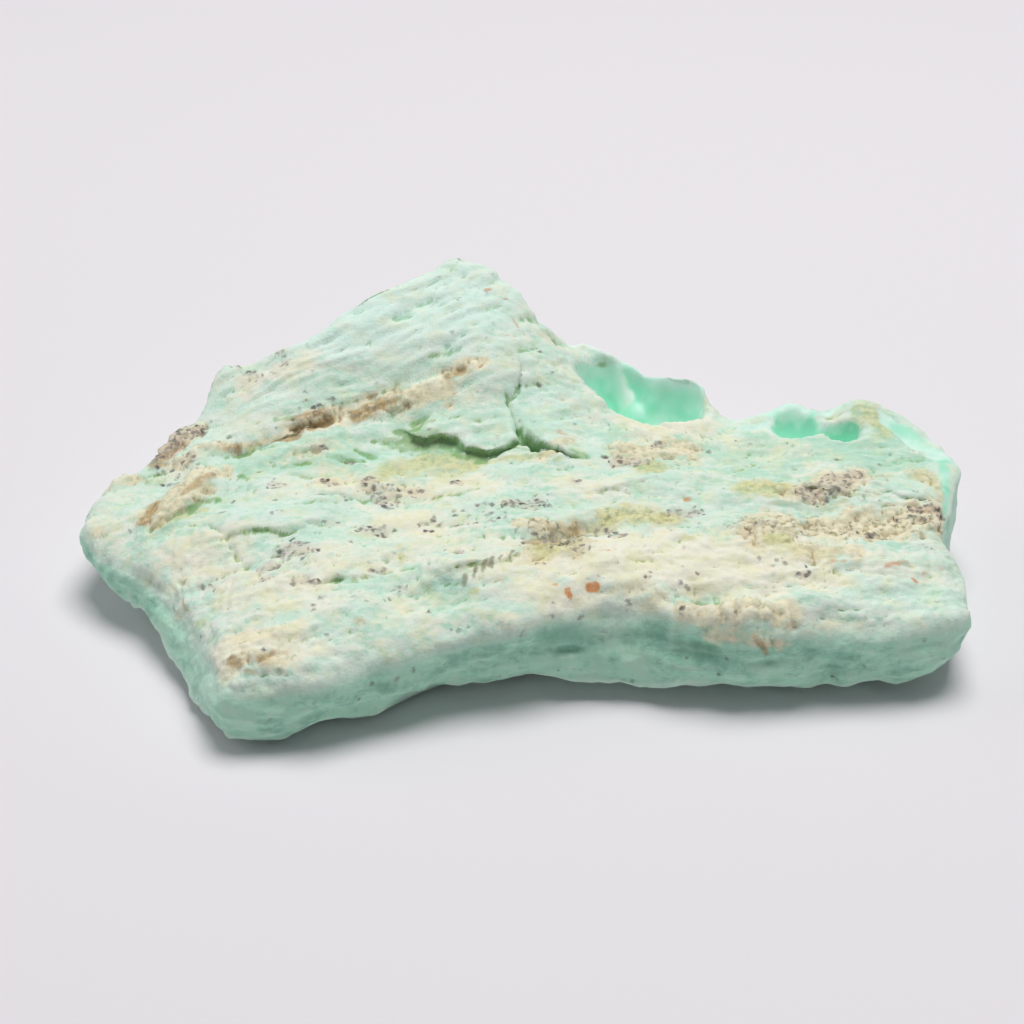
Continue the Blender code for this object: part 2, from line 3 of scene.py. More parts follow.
import bpy
import numpy as np
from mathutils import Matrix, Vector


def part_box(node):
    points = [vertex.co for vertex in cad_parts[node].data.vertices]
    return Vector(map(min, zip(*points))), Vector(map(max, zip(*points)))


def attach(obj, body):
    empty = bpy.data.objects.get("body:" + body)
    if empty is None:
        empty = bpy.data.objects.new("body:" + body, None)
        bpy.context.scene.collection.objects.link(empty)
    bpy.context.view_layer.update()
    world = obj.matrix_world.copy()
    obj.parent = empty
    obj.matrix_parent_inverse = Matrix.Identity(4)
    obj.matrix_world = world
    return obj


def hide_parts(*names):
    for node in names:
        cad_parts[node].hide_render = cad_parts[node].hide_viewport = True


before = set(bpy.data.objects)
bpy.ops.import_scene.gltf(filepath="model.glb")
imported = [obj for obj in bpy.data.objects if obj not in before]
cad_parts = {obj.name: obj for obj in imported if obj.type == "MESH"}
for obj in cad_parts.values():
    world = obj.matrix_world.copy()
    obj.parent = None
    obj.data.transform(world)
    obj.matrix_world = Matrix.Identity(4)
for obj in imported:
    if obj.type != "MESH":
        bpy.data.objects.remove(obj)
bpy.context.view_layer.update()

# the stone, in millimetres from the middle of the plan: +X right, +Y back, +Z up
stone = {
    "cellsAlong": 330,
    "cellsAcross": 195,
    "rowsDown": 24,
    "soleRings": [0.02, 0.05, 0.1, 0.2, 0.4, 0.7],
    "soleMiddle": (5, -6),
    # where the top turns down: x, y, spread of the foot past it, height of the foot's edge
    "front": [
        (-27.6, -30, 0, 1.2), (-26, -30.7, -1, 1.3), (-22, -30.3, -1.1, 1.6), (-18, -29.6, -1.4, 2),
        (-15.5, -28.6, -1.3, 1.7), (-13, -27.6, -1.4, 2.1), (-9, -26.3, -1.7, 2.4), (-5, -24.9, -1.7, 2.1),
        (-1, -23.8, -1, 2.6), (2, -22.4, 0.1, 2.4), (4.5, -21.4, 1.3, 2.1), (7.5, -20.8, 1.8, 2.2),
        (10.5, -21, 1.7, 1.8), (13.5, -21.9, 1.1, 2.5), (16.5, -22.6, 0.1, 2.3), (19, -23.2, -0.3, 2.6),
        (21.5, -23.4, -0.7, 2.2), (25, -23.2, -0.2, 2.4), (28, -22.9, -0.3, 2), (31.5, -23, -0.5, 2),
        (37, -22.2, -1, 1.8), (40, -21.2, -1.5, 1.9), (42, -19, -1.1, 1.9),
    ],
    "right": [
        (42, -19, -1.1, 1.9), (42.2, -14, -0.2, 2), (41.5, -8, 0.4, 1.5), (42.4, -3.5, 0, 1),
        (44, 1.5, -0.2, 0.6),
    ],
    "back": [
        (-45, -4.2, -1, 3.6), (-43.8, 0.5, 0.4, 2.8), (-42.6, 3.6, 1.6, 2.2), (-39.9, 5.4, 2.8, 1.8),
        (-38, 8.4, 3.4, 1.4), (-36, 13.4, 4, 1), (-32.2, 17.5, 4.6, 0.8), (-25, 19, 5.2, 0.5),
        (-20, 21.4, 4.6, 0.3), (-14, 24.2, 4.4, 0.5), (-9.8, 26.8, 4, 0.4), (-7.4, 27.6, 3.8, 0.4),
        (-4.1, 26.8, 3.6, 0.4), (-1.2, 24.8, 4, 0.3), (0.8, 22.6, 5.2, 0.5), (5.2, 22.6, 4.6, 0.4),
        (10.1, 21.6, 4.2, 0.4), (13.4, 18, 4.6, 0.5), (18.6, 15.2, 4.4, 0.6), (20.4, 12.2, 4.4, 1),
        (24.7, 11.2, 4, 0.8), (27.9, 12.5, 3.2, 0.3), (30, 11.9, 3.6, 0.4), (32.7, 12.6, 3, 0.5),
        (36.4, 12.4, 2.4, 0.8), (39.7, 10.7, 1.2, 0.8), (41.8, 7.7, 0.6, 0.5), (43.4, 4.7, 0.2, 0.5),
        (44, 1.5, -0.2, 0.6),
    ],
    "left": [
        (-27.6, -30, 0, 1.2), (-28.6, -28.4, 0.2, 1.2), (-29.4, -26, 0.8, 1.3), (-31, -22.3, 1, 1.5),
        (-33.2, -18.5, 0.9, 1.8), (-35.7, -14, 0.8, 3.1), (-39.3, -10, 0, 3), (-42.6, -7.2, -0.9, 3.4),
        (-45, -4.2, -1, 3.6),
    ],
    # heights of the top, x, y, z: along the front, the ends, the crest, ramp and lobe, and low ground
    "heights": [
        (-27, -30.7, 7.2), (-22, -30.3, 7.6), (-13, -27.8, 8.6), (-5, -24.9, 9.2), (2, -22.4, 10.2),
        (7.5, -19.2, 11.2), (6, -21, 9.6), (10, -21, 9.6), (13.5, -21.4, 10.4), (18, -23, 9),
        (25, -23, 9.2), (31.5, -23, 8.6), (37, -22.2, 8.6), (42, -19, 8.6), (-31, -22.3, 7.8),
        (-35.7, -14, 8.4), (-42.6, -7.2, 7.8), (-45, -4.2, 8.8), (-43.8, 0.5, 8.6), (41.8, -10, 9.2),
        (44, 1.5, 12.2), (-42.6, 3.6, 8.3), (-38, 8.4, 9.8), (-36, 13.4, 11.2), (-32.6, 17.3, 14.9),
        (-29.4, 18.2, 14.9), (-25, 19, 16.8), (-20, 21.4, 19.8), (-16, 23.4, 21.8), (-14, 24.2, 21.6),
        (-9.8, 26.8, 21.9), (-7.4, 27.6, 23.4), (-4.1, 26.8, 22.6), (-1.2, 24.8, 20.8), (0.8, 22.6, 18.5),
        (5.2, 22.6, 14.7), (10.1, 21.6, 14), (13.4, 18, 13.8), (18.6, 15.2, 14.6), (20.4, 12.2, 11.6),
        (24.7, 11.2, 12.2), (28.6, 12.2, 13.6), (31.9, 12.4, 12), (34.6, 12.5, 13.7), (36.9, 12.2, 13),
        (39.7, 10.7, 11.8), (43.4, 4.7, 11.4), (-24.2, 11.8, 14), (-24.4, 16, 16), (-13.7, 18, 18),
        (-6, 19.5, 19.4), (-22.9, 7.7, 12.4), (-13.6, 11.4, 13.6), (-7.2, 13.9, 15.4), (-0.9, 10.6, 13.8),
        (-4, 4.5, 11.6), (5.5, 11.8, 13.8), (3.5, 17, 15.6), (8.6, 9.5, 12.9), (13.3, 9, 12.4),
        (18.3, 9.8, 12.3), (-39.8, -1.4, 9.2), (-30.2, -4, 10.4), (-25.4, -25.5, 8.8), (-22, -20.2, 9.6),
        (-20, -4.8, 11), (-12.3, -21.7, 10.4), (-11, -4.8, 11.2), (-5, 0, 11.2), (1, -20, 10.9),
        (3.1, -5.6, 11.8), (8.7, -17, 11.4), (13.5, 0.4, 12), (17, -18.8, 11), (21.7, 0.4, 12),
        (24, -18.5, 10.6), (30.1, 3.5, 12.2), (31, -7.9, 11), (31.6, -18, 9.8), (38.2, 1.3, 11.6),
        (37.5, -13.5, 9.9),
    ],
    # mounds and pits: x, y, turn, reach along and across, height
    "mounds": [
        (-34.3, -1.4, 54, 4.9, 2.3, 1.3), (-36.6, 9.8, 50, 2.4, 1.7, 0.7), (-42.4, 3.2, 0, 1.6, 1.6, 0.7),
        (-27, -8.2, 14, 6, 2.6, 0.9), (-6, -17, 18, 6, 2.2, 0.8), (-18.6, -14, 16, 7, 2.4, 0.7),
        (11, -2.6, 8, 8, 2.4, 0.8), (4.6, -10.8, 24, 3.4, 1.6, -1.6), (24.4, -4.2, 6, 6, 2, 0.7),
        (31.5, -14, -6, 6, 2.4, 0.7), (19.6, -22.6, 4, 4, 1.5, 1), (17.6, -20.2, 0, 2.4, 1.2, -0.7),
        (27, -20.4, 10, 2.6, 1.6, 0.7), (23.4, -20, 0, 1.6, 1.2, -0.6), (34, -17, 0, 3, 1.6, 0.5),
        (-29.4, 9, 24, 5, 2, 0.6), (-32.8, 5, 70, 2.4, 1.6, 0.6), (-14, 11.8, 12, 5.6, 1.5, 0.6),
    ],
    # ledges: how far each stands up, hangs over, runs back and fades, and its lip from left to right
    "ledges": [
        (0.8, 0.9, 12, 2.6, [(-14, 9), (-12, 7.4), (-10.4, 6.8), (-8.6, 7), (-7.2, 5.8), (-5.8, 4.8),
            (-4.2, 4.5), (-2.8, 5.3), (-1, 5.9), (1.1, 5.5), (2.8, 4.5), (4.2, 3.6), (6.4, 3.2)]),
        (0.35, 0.25, 4, 1.6, [(-38.8, -7.6), (-36.9, -6.5), (-34.4, -4.9), (-31.6, -2.4), (-29.8, -0.4)]),
        (0.4, 0.3, 5, 5, [(21.6, -3.6), (28, -4.2), (33, -3), (38, -3.6), (43.5, -3)]),
        (0.4, 0.35, 3, 3, [(-31, -9.4), (-28.6, -9.6), (-25, -9.4), (-21, -8.4), (-18, -8)]),
        (0.35, 0.3, 3, 3, [(-21.5, -18.6), (-19, -18.2), (-15, -17.2), (-11, -16.4)]),
        (0.4, 0.3, 3.5, 2.6, [(5, -4.9), (8.5, -4.6), (11, -3.4), (14, -2.6)]),
        (0.4, 0.3, 2.6, 2.4, [(-9.6, -19), (-7, -18.2), (-4, -16.9), (-0.6, -15.2), (1.4, -14)]),
    ],
    # clefts, and ribs of negative depth: depth, half of the width, the line
    "clefts": [
        (0.8, 0.8, [(-34, 4.4), (-29.1, 5.9), (-25, 7.4), (-22.8, 8.4), (-19.9, 9.4), (-16.8, 11.4),
            (-13.6, 13), (-9.4, 14.2), (-5.1, 15)]),
        (1.7, 0.5, [(-2.4, 12.8), (-1.9, 11.5), (-1.5, 10.1), (-0.4, 6.8), (0.7, 5.4), (1.8, 3.8)]),
        (0.8, 0.3, [(-0.8, 15.8), (-0.7, 13.9), (-0.9, 12.6), (-1.7, 11.6)]),
        (0.7, 0.7, [(-15, 20.6), (-13.6, 20.4), (-12, 21.8), (-9.6, 22.8)]),
        (-0.9, 0.7, [(4.6, 22), (7, 21.6), (9, 20.4), (11.2, 17.6), (12.6, 14.6)]),
        (0.3, 0.35, [(-33, -6.2), (-30, -9.4), (-28, -13), (-26, -15.6)]),
        (0.3, 0.4, [(-24, -4), (-19, -3.2), (-14, -3.4), (-10, -2.2)]),
    ],
    # shell-shaped breaks: x, y, turn, reach along and across, floor, climb at that reach
    "scoops": [
        (10.2, 15.4, -42, 5.9, 4.3, 8.6, 5.9), (13.8, 12.7, -16, 6, 3.7, 8, 5),
        (3.9, 20.6, 10, 1.5, 1, 14.8, 1.6), (28.4, 9, 10, 3.4, 3, 9.8, 3),
        (32.9, 8.2, -15, 2.6, 2.5, 9.6, 3), (40.4, 6.6, -48, 5, 2.4, 11.2, 1.8),
    ],
    # dents in the sides: x, y, z, reach, how far each pushes the side along x and y
    "dents": [
        (-36, 16, 5, 7, 2.6, -2.2), (-22, 24, 12, 8, 0.8, -3), (-7, 31, 5, 6.5, 0.2, -2.6),
        (5, 27, 6, 6, -0.6, -2.4), (14, 22, 3, 5, -1.4, -1.6), (31, 15, 6, 5.5, 0, -1.8),
        (42.5, 8, 4, 4.5, -1.2, -0.8), (43, -8, 6.5, 4, -0.6, 0.1),
    ],
    "rimRounding": 1.5,
    "rimWidth": 1.7,
    "backRounding": 0.5,
    "outlinePasses": 80,
    "plateSlack": 2,
    "scoopSoftness": 0.7,
    "sideBulge": 0.5,
    "footRaggedness": 0.3,
    "undercutReach": 9,
    "soleSink": 0.6,
    "lipSoftness": 0.32,
    "lipRaggedness": 0.7,
    "grainSlope": 0.29,
    "grainBend": 0.0047,
    "bedDip": 0.58,
    "crestTurn": 0.26,
    "sidePasses": 10,
    "frontPasses": 30,
}

# relief of the crust: heights in millimetres
relief = {
    "lenses": 0.28,
    "flakes": 0.16,
    "scallops": 0.8,
    "folds": 0.55,
    "lumps": 0.36,
    "fibres": 0.18,
    "crumbs": 0.31,
    "grit": 0.05,
    "cracks": 0.22,
    "fineCracks": 0.14,
    "shells": 0.18,
    "pits": 0.7,
    "crevices": 0.15,
}

# stains and finishes of the top, with painted shade and light among them, as strokes in plan: x, y, run
# along x and y, reach, strength
stainsFinishesAndPaintedLight = {
    "cream": [
        (-33.7, -10.3, 4.2, -1.2, 3, 0.8), (-28, -18.2, 17.6, -3.6, 2.9, 0.6),
        (-27.7, -26.7, 6.1, 0.7, 2.6, 0.9), (-19.8, -0.5, 13.8, -1.1, 3.2, 0.55),
        (-10.9, -8.3, 13.8, -12.2, 3.8, 0.6), (2.9, -16.1, 22.4, 0.4, 4.5, 1),
        (6.6, -22.1, 9.5, -0.2, 1.9, 0.6), (-29.5, 14.6, 6, 0.6, 1.5, 0.9), (17.9, 5, 8.2, -0.9, 3.5, 0.35),
        (3.2, -1.2, 7.9, -6.1, 2.2, 0.5), (-19.4, -15.4, 8.7, 2.2, 2.4, 0.5),
        (32.1, -15.1, 6.1, 0.7, 1.8, 0.4), (13.7, 8.7, 3.2, 0.2, 3.4, 0.7),
        (27.3, -16.9, 1.6, 0.1, 0.8, 0.9), (-43.8, -2.8, 5.8, -5.4, 3.5, 0.3), (-9, -17.5, 6, -1, 1.8, 0.6),
    ],
    "tan": [
        (-37.4, 6.6, 2.2, 3, 1.6, 1), (-42.6, 3.2, 1.4, 0.4, 1.4, 0.9), (-36.6, -4.4, 4.2, 6, 2.1, 1),
        (-33.9, 6.6, 2.2, -0.6, 1, 0.9), (-30.8, 6.3, 6.8, 1.5, 0.3, 0.9), (-24.1, 8.2, 3.1, 1, 1.2, 1),
        (-19.4, 9.8, 5.8, 1.5, 1.3, 1), (-13.2, 12, 4.9, -0.4, 1.4, 1), (-8.3, 13.8, 3.4, 0.4, 0.9, 1),
        (-8.3, 12, 2.1, 1, 1.1, 0.6), (1.8, 3, 2.5, 1.7, 1.1, 0.8), (-0.7, -10, 5.3, 0.2, 0.9, 0.9),
        (1.5, -14.9, 2.9, 1.2, 2.2, 0.7), (8.8, -8.4, 5.4, -0.4, 1.7, 0.6), (10, 3.3, 5.8, 1.5, 2.3, 0.8),
        (21.9, -11.1, 19.9, 4.5, 2.3, 1), (26.8, -14.1, 4.3, 0.3, 1.5, 0.8),
        (39.5, -8.1, 1.5, 0.3, 1.5, 0.8), (15.2, -21.9, 9, -0.2, 1.4, 1),
        (-1.9, -23.2, 0.2, -0.7, 0.7, 0.5), (14.3, -20.1, 3.3, 1, 0.6, 0.5),
        (-15.6, -24.1, 0.4, 0, 0.5, 0.6), (-27, -25, 3.5, -0.6, 1.8, 0.45),
        (-27, -27.6, 4, -0.6, 1.2, 0.75), (-34.7, -17, 1.2, -0.2, 0.7, 0.8),
        (3.1, 19.9, 3.2, -9.5, 3.8, 0.3), (23, -16.9, 0.4, 0.1, 0.6, 0.5),
        (-43.1, -5.2, 0.4, -0.2, 0.5, 0.7), (23.4, -2.6, 4, -1.1, 1.5, 0.6), (27, -4.6, 7.4, 3.8, 2.1, 0.8),
        (40, 0.4, 1.6, -2, 1.2, 0.7), (-24, 4, 4, 1.5, 1.4, 0.45), (-21.5, -1, 2.5, -0.5, 1.2, 0.5),
        (-15.5, -1.5, 5, -0.7, 1.6, 0.5), (-36.6, 4.6, 2.2, 0.8, 1.2, 0.8),
    ],
    "rust": [
        (5.9, -19.5, 0.6, 0.1, 0.38, 0.9), (3.8, -20, 0.1, -0.2, 0.34, 0.75), (29, -15.3, 1.6, 0, 0.3, 0.6),
        (34.5, -15.5, 2.1, 1, 0.4, 0.5), (38.9, -5.4, 2.4, 0.1, 0.5, 0.25), (-4.3, 23, 0.4, 0.2, 0.3, 0.7),
        (-2.4, 22.3, 0.3, 0.1, 0.2, 0.6), (-1.4, 20.4, 0.5, -1.1, 0.2, 0.5),
        (-2.5, 17.8, 1.8, 0.2, 0.2, 0.4), (2.5, -19.5, 0.1, 0, 0.3, 0.6), (-2.4, -4.2, 0.6, -0.1, 0.4, 0.6),
        (16, -5.6, 0.2, 0, 0.4, 0.6), (6.6, -13.2, 0.2, 0, 0.3, 0.5), (6.5, -15.3, 1.4, 0, 0.2, 0.5),
        (37.2, -16.6, 0.2, 0, 0.3, 0.6), (42, -18.8, 0.2, 0.1, 0.3, 0.6), (38.1, -15.4, 0.5, 0.2, 0.3, 0.5),
        (3.5, 6.2, 0.7, 0, 0.5, 0.5), (-15.7, -24.1, 0.6, 0, 0.4, 0.5), (-34.7, -16.9, 1.2, -0.2, 0.4, 0.4),
    ],
    "ochre": [
        (-25.8, 6.8, 2.2, 0.3, 0.5, 1), (-23.2, 8.5, 2, 0.6, 1, 1), (-27.2, -27.6, 0.8, -0.6, 0.5, 0.55),
        (-17.6, 10, 2.4, 1, 0.8, 0.8), (-24.4, -28, 0.8, 0.6, 0.5, 0.6),
        (-25.8, -28.9, 0.6, -0.1, 0.4, 0.6), (-14.8, 11, 1, 0.4, 0.4, 0.6), (-8, 13, 1.6, 0.8, 0.5, 0.7),
        (1.8, -12.6, 2.6, 2.2, 1.6, 0.6), (-31.3, 6, 1.3, 0.2, 0.5, 0.8), (-38.1, -5.6, 0.5, 2.6, 0.8, 0.7),
        (-38, 5.4, 1.6, 2.2, 0.9, 0.7), (-34.6, -2.8, 2.8, 3.4, 0.4, 0.5),
    ],
    "olive": [
        (-10.4, 4.2, 5, -1.2, 1.2, 0.85), (-12.9, 2.2, 6, -0.4, 2, 0.6), (-4.8, 3, 8.1, 0.4, 0.5, 0.6),
        (8.4, -8.3, 6, -0.5, 1.7, 0.75), (12.2, 0.3, 1.1, -0.1, 1.5, 0.8),
        (22.2, -3.4, 3.5, -0.5, 1.8, 0.8), (23.4, -12.8, 1.4, 0.1, 0.7, 1),
        (35.4, 11.6, 1.8, -3.6, 1.5, 0.75), (-5.4, -20.2, 0.5, 0, 0.4, 0.7), (9.7, -16.1, 0.4, 0, 0.5, 0.6),
        (15.5, -12.6, 0.4, 0, 0.5, 0.6), (-36.4, -6.4, 4.4, 2.2, 0.6, 0.8), (-2.3, -18, 2.7, 0.2, 0.3, 0.6),
        (-29, 6.4, 0.8, 0.1, 0.3, 0.6), (-7.7, 26, 0.4, 0, 0.4, 0.5), (2.8, 2, 0.7, 0.2, 0.3, 0.7),
        (-31.7, -20.3, 0.8, -0.2, 0.4, 0.7), (40.1, -0.3, 2.1, -1.6, 1.4, 0.5),
        (1.5, -13.4, 2.8, -0.7, 1.9, 0.8), (17.5, 15.6, 1.6, -2.4, 0.4, 0.4),
        (-12.3, -13.2, 0.3, -2, 0.4, 0.5), (2.8, 21.7, 1.9, 1.2, 0.2, 0.5),
        (-20.5, 1.7, 7.3, -1.4, 1.5, 0.35), (24.5, -13.4, 4.8, -0.9, 0.9, 0.4),
    ],
    # painted shade: dark green under the ledge lips and along the crevices, which are also cut a little
    # into the geometry
    "deep": [
        (-12.6, 6.6, 3.2, -0.9, 1.3, 1), (-13.6, 8.2, 2, -0.6, 0.6, 0.9), (-10, 5.8, 3, -1.2, 0.9, 1),
        (-7, 4.4, 2.8, -1, 0.6, 1), (-4.2, 3.5, 3.2, 1.3, 0.3, 0.8), (-1, 4.8, 3.8, -1.2, 0.3, 0.8),
        (-26.2, 9, 2.1, 0.2, 0.3, 1), (-10.3, 15.7, 3.4, 0.3, 0.2, 0.8), (-37.4, -6.8, 6.4, 4.4, 0.4, 0.8),
        (-29, -9.9, 6.3, 0, 0.3, 0.7), (7.4, -4.7, 3.6, 1.3, 0.4, 0.6), (4.8, 2.9, 1.2, -0.2, 0.5, 1),
        (0, 12.7, 1.2, 0.1, 0.4, 0.3), (-1.5, 10.1, 0.7, -2.1, 0.3, 0.8), (-0.8, 8, 2.6, -4.1, 0.3, 0.8),
        (-39.2, 2.9, 1.7, -0.6, 1.1, 0.7), (-24.8, 2.7, 2.5, 0.3, 0.5, 0.7),
        (-42.9, -7.2, 0.7, -0.3, 0.7, 0.5), (-37.4, -10.1, 0.6, -0.2, 0.5, 0.5),
        (-30.1, -23.1, 0.8, -0.3, 0.5, 0.6), (-19.7, -18.3, 3.4, 0.6, 0.4, 0.6),
        (-19.7, 3.6, 2.7, 0, 0.4, 0.8), (36.7, 2.4, 4.1, 1.1, 0.5, 0.6), (-33.6, -6.6, 3, -2.4, 0.3, 0.6),
        (-29.6, 5.6, 1, -0.2, 0.4, 1), (-27.4, 5.8, 1.2, 0, 0.3, 0.8), (-23.6, 4.6, 3, 0.4, 0.4, 0.8),
        (-20.4, 3.6, 2, -0.8, 0.3, 0.9), (-17.6, 5.2, 2, -0.8, 0.4, 0.9), (-29.2, 1.4, 0.8, -0.6, 0.4, 0.9),
        (-26.2, 3.4, 0.4, -0.4, 0.3, 0.9), (-23, -5.4, 4, 1, 0.4, 0.6), (-15.6, 6.8, 2.2, 0.4, 0.5, 0.8),
        (-24, 1.2, 4, -0.8, 0.5, 0.6), (-9, -3.4, 4, 1, 0.4, 0.6), (-9, 9, 4, -0.8, 0.5, 0.6),
        (-12, 8.8, 2.4, -0.4, 0.5, 0.7), (-3, 8.6, 3, -1.4, 0.4, 0.4), (-13, 1.6, 2.4, -1, 0.4, 0.5),
    ],
    "aqua": [
        (-19.3, 12.7, 1.4, 0, 0.2, 0.9), (-22.5, -19.9, 9.2, -1.6, 1.6, 0.6),
        (-9.4, -19.2, 2.7, 0, 0.7, 0.7), (-35.1, 13.8, 14.1, -2.3, 1.9, 0.3),
        (-21.4, 19.7, 15.2, 1.9, 5, 0.8), (-39.8, 16.9, 10.8, 2.1, 2.1, 0.35),
        (3.4, 11.8, 4.5, 6.6, 4.6, 0.4), (31.8, -18.6, 7.7, -0.7, 1.9, 0.35),
        (7.2, -4.4, 1.9, -1.4, 1.1, 0.3), (20, 10.6, 6, -0.8, 1.6, 0.7), (-28.4, -7, 4.5, -0.6, 2.1, 0.4),
    ],
    "specks": [
        (-25.5, -1.2, 1.2, -0.1, 0.8, 0.9), (-20.3, -1, 0.6, -0.1, 1, 0.8), (-18.9, -3.2, 0.3, 0, 0.6, 0.9),
        (-15.5, -0.9, 1.8, -2, 1.4, 0.8), (-30.3, -5.6, 0.2, 0, 0.8, 0.6), (-19.7, -8, 0.8, 0, 0.5, 0.7),
        (-15.9, -9.5, 2.1, -0.2, 0.9, 0.8), (-22.7, -13.1, 1, -0.4, 1.4, 1),
        (-25.1, -15.1, 0.8, -0.2, 0.7, 1), (-31.5, -15.2, 1.9, -1.5, 0.7, 0.6),
        (-21.6, -17.9, 1.6, -0.2, 0.6, 0.7), (-14.9, -16.6, 1, -0.1, 0.5, 0.8),
        (-25.3, -17, 0.8, -0.2, 0.2, 0.7), (-7.3, -0.9, 0.4, 0, 0.6, 0.8),
        (-6.9, -14.4, 0.2, -0.1, 0.6, 0.8), (-12.5, -19.2, 0.7, -0.1, 0.3, 0.7),
        (1.1, -16.5, 0.4, -0.2, 0.3, 0.7), (-1, -5.9, 2, -0.2, 1.2, 1), (4.9, -2.2, 0.2, -0.1, 0.6, 0.9),
        (9.6, 1.7, 1.7, 0.4, 1.1, 1), (13.5, 5.3, 0.3, 0.1, 0.5, 1), (7.1, -9.4, 1, -0.9, 0.6, 0.9),
        (8.1, -11.6, 1.3, -0.3, 0.4, 0.9), (12.6, -9.7, 0.4, 0, 0.4, 0.9), (14.8, -7.8, 1.2, 0, 1, 1),
        (12.6, -14.2, 0.2, 0, 0.3, 0.9), (8.5, -17.1, 0.2, 0, 0.3, 0.6), (9.4, -20.6, 0.2, 0, 0.3, 0.6),
        (11.3, -18.3, 0.2, 0, 0.3, 0.6), (16.5, -17.6, 0.2, 0, 0.3, 0.6), (15, -16.9, 0.2, 0, 0.3, 0.5),
        (27.9, -4.3, 5.1, 2.9, 1.2, 1), (27.2, -5.3, 1.2, -0.2, 0.5, 0.9), (31.2, -1.6, 2, 0.8, 1, 1),
        (22, -10.7, 2.4, 0.3, 0.7, 0.8), (27.4, -9.9, 0.6, 0.2, 0.4, 0.9), (31.3, -9.1, 0.6, 0, 0.5, 0.9),
        (33.4, -9.7, 0.9, 0.2, 0.4, 0.9), (38.4, -5.6, 2.6, 0.4, 0.5, 0.9),
        (38.6, -7.1, 0.7, 0.2, 0.5, 0.7), (20.8, -12.3, 1, 0.2, 0.4, 0.7), (36.7, -6.8, 1.1, 0.2, 0.3, 0.6),
        (25.9, -17.1, 0.7, 0.1, 0.4, 1), (-31.3, 18.2, 0.9, -1.5, 0.4, 0.8),
        (-25.7, 15.7, 0.6, -0.1, 0.4, 0.9), (-30.1, 16.2, 2.3, -1.5, 0.4, 0.5),
        (-37.4, 7.2, 2.4, 2.6, 1.5, 1), (-36.6, 2.2, 3.6, 0.6, 1, 0.35), (-23, 10.1, 3.6, 1.6, 0.3, 0.3),
        (-18.2, 3, 0.6, 0, 0.4, 1), (-26.3, 18, 1.2, -1.4, 0.4, 0.4), (-5, -18, 0.2, -0.2, 0.2, 0.9),
        (-3.7, -17, 0.2, -0.2, 0.2, 0.9), (-1.9, -15.6, 0.2, -0.3, 0.4, 0.9),
        (1.1, -11.4, 3.6, -2.7, 1.8, 0.6), (-25.1, 8.7, 3.3, 1.3, 0.3, 0.4),
        (22.3, -15.8, 3.9, -0.3, 0.7, 0.3), (-8.9, -8.4, 6, 0.7, 1.6, 0.3),
        (-30.3, -3.4, 2.9, 1.6, 0.7, 0.3), (-12.5, -2, 1.5, -0.6, 0.6, 0.7),
        (-36.2, 4.6, 1.6, 0.6, 0.9, 0.8), (-22, 5, 0.8, 0, 0.5, 0.8), (2.9, -21.7, 5.6, -0.9, 1, 0.15),
        (-21.9, -21.8, 7.6, 0.4, 1.1, 0.15),
    ],
    "pits": [
        (-0.7, -10.4, 5.2, 0, 1.4, 0.9), (21.9, -11.1, 19.9, 4.5, 2.3, 0.9),
        (8.4, -8.3, 6.2, -0.5, 1.7, 0.6), (-37.2, 7, 2, 2.8, 1.6, 1), (-23.9, 8.8, 4.5, 2.3, 0.8, 0.7),
        (-19.4, 9.8, 5.8, 1.5, 1.3, 0.5), (27.7, -4.6, 5.1, 1.7, 1.3, 0.8),
        (-30.3, 6.6, 6.3, 0.7, 0.3, 0.5), (-36.6, -4.4, 4.2, 6, 1.6, 0.3), (15.2, -21.2, 9, -0.1, 1.2, 0.3),
    ],
    "calm": [
        (-29.4, -6.3, 5.7, -1.3, 2.7, 0.9), (-19.7, 5.3, 2.7, 0.1, 1, 0.9),
        (-12.2, 12.4, 3.9, -0.6, 1.3, 0.9), (-34.4, 12.6, 13.4, -1.3, 1.3, 0.5),
        (-36.6, -4.4, 4.2, 6, 1.8, 0.6), (6.8, -16.1, 17.5, 0.6, 2.4, 0.4), (16, -8.8, 9, 1.3, 1.5, 0.5),
        (-44.8, 0.6, 8.3, -12.4, 5.2, 0.4),
    ],
    # the fibrous ramp: fibres in the relief, and a painted light that makes it as pale as the flat top
    "fibrous": [(-34, 12, 28, 10, 8, 1), (-14, 9, 18, -2, 4, 0.8)],
    "rich": [
        (8.4, 18.6, 0.6, -1.2, 1.5, 0.7), (11.2, 18.8, 1.6, -1.4, 1.1, 0.7),
        (13.2, 16.5, 0.2, -0.8, 0.9, 0.6), (16.4, 14.6, 1.2, -1, 1.3, 0.7), (12.3, 14.6, 1.5, -2, 1.6, 0.6),
        (16, 12.9, 1, -0.6, 1.4, 0.6), (3.2, 20.6, 1.4, 0, 0.9, 1), (27.4, 9, 1.8, 0.6, 2.1, 1.1),
        (32.4, 8.2, 1, 0.2, 2.2, 1.5), (39.4, 8.6, 2.6, -3.4, 1.6, 0.5), (42.8, 2, -0.8, -8, 1.2, 0.7),
    ],
    "frost": [(4.6, 22, 3.6, -1, 0.7, 0.8), (8.2, 21, 3, -3.4, 0.6, 1), (14.2, 16, 0.6, -1.6, 0.6, 0.5)],
    "verdant": [
        (-28, 3, 10, 0.4, 3, 0.9), (-13, 9, 17, -1, 2.6, 0.8), (17.9, 4.6, 19.1, -0.6, 5, 1),
        (19.6, 11, 6, -0.8, 1.6, 1), (10, 7, 8, -1, 2.5, 0.6), (-30, 13, 10, -1, 2, 0.5),
    ],
    "dashes": [
        (-6, -19.4, 0.2, 0.9, 0.24, 1), (-5.1, -18.7, 0.3, 1.1, 0.24, 1), (-4.3, -18.2, 0.3, 1.1, 0.22, 1),
        (-3.5, -17.5, 0.3, 1.1, 0.22, 1), (-2.6, -16.7, 0.2, 0.8, 0.22, 0.9),
        (-1.6, -16.1, 0.3, 1.1, 0.26, 1),
    ],
    "glass": [
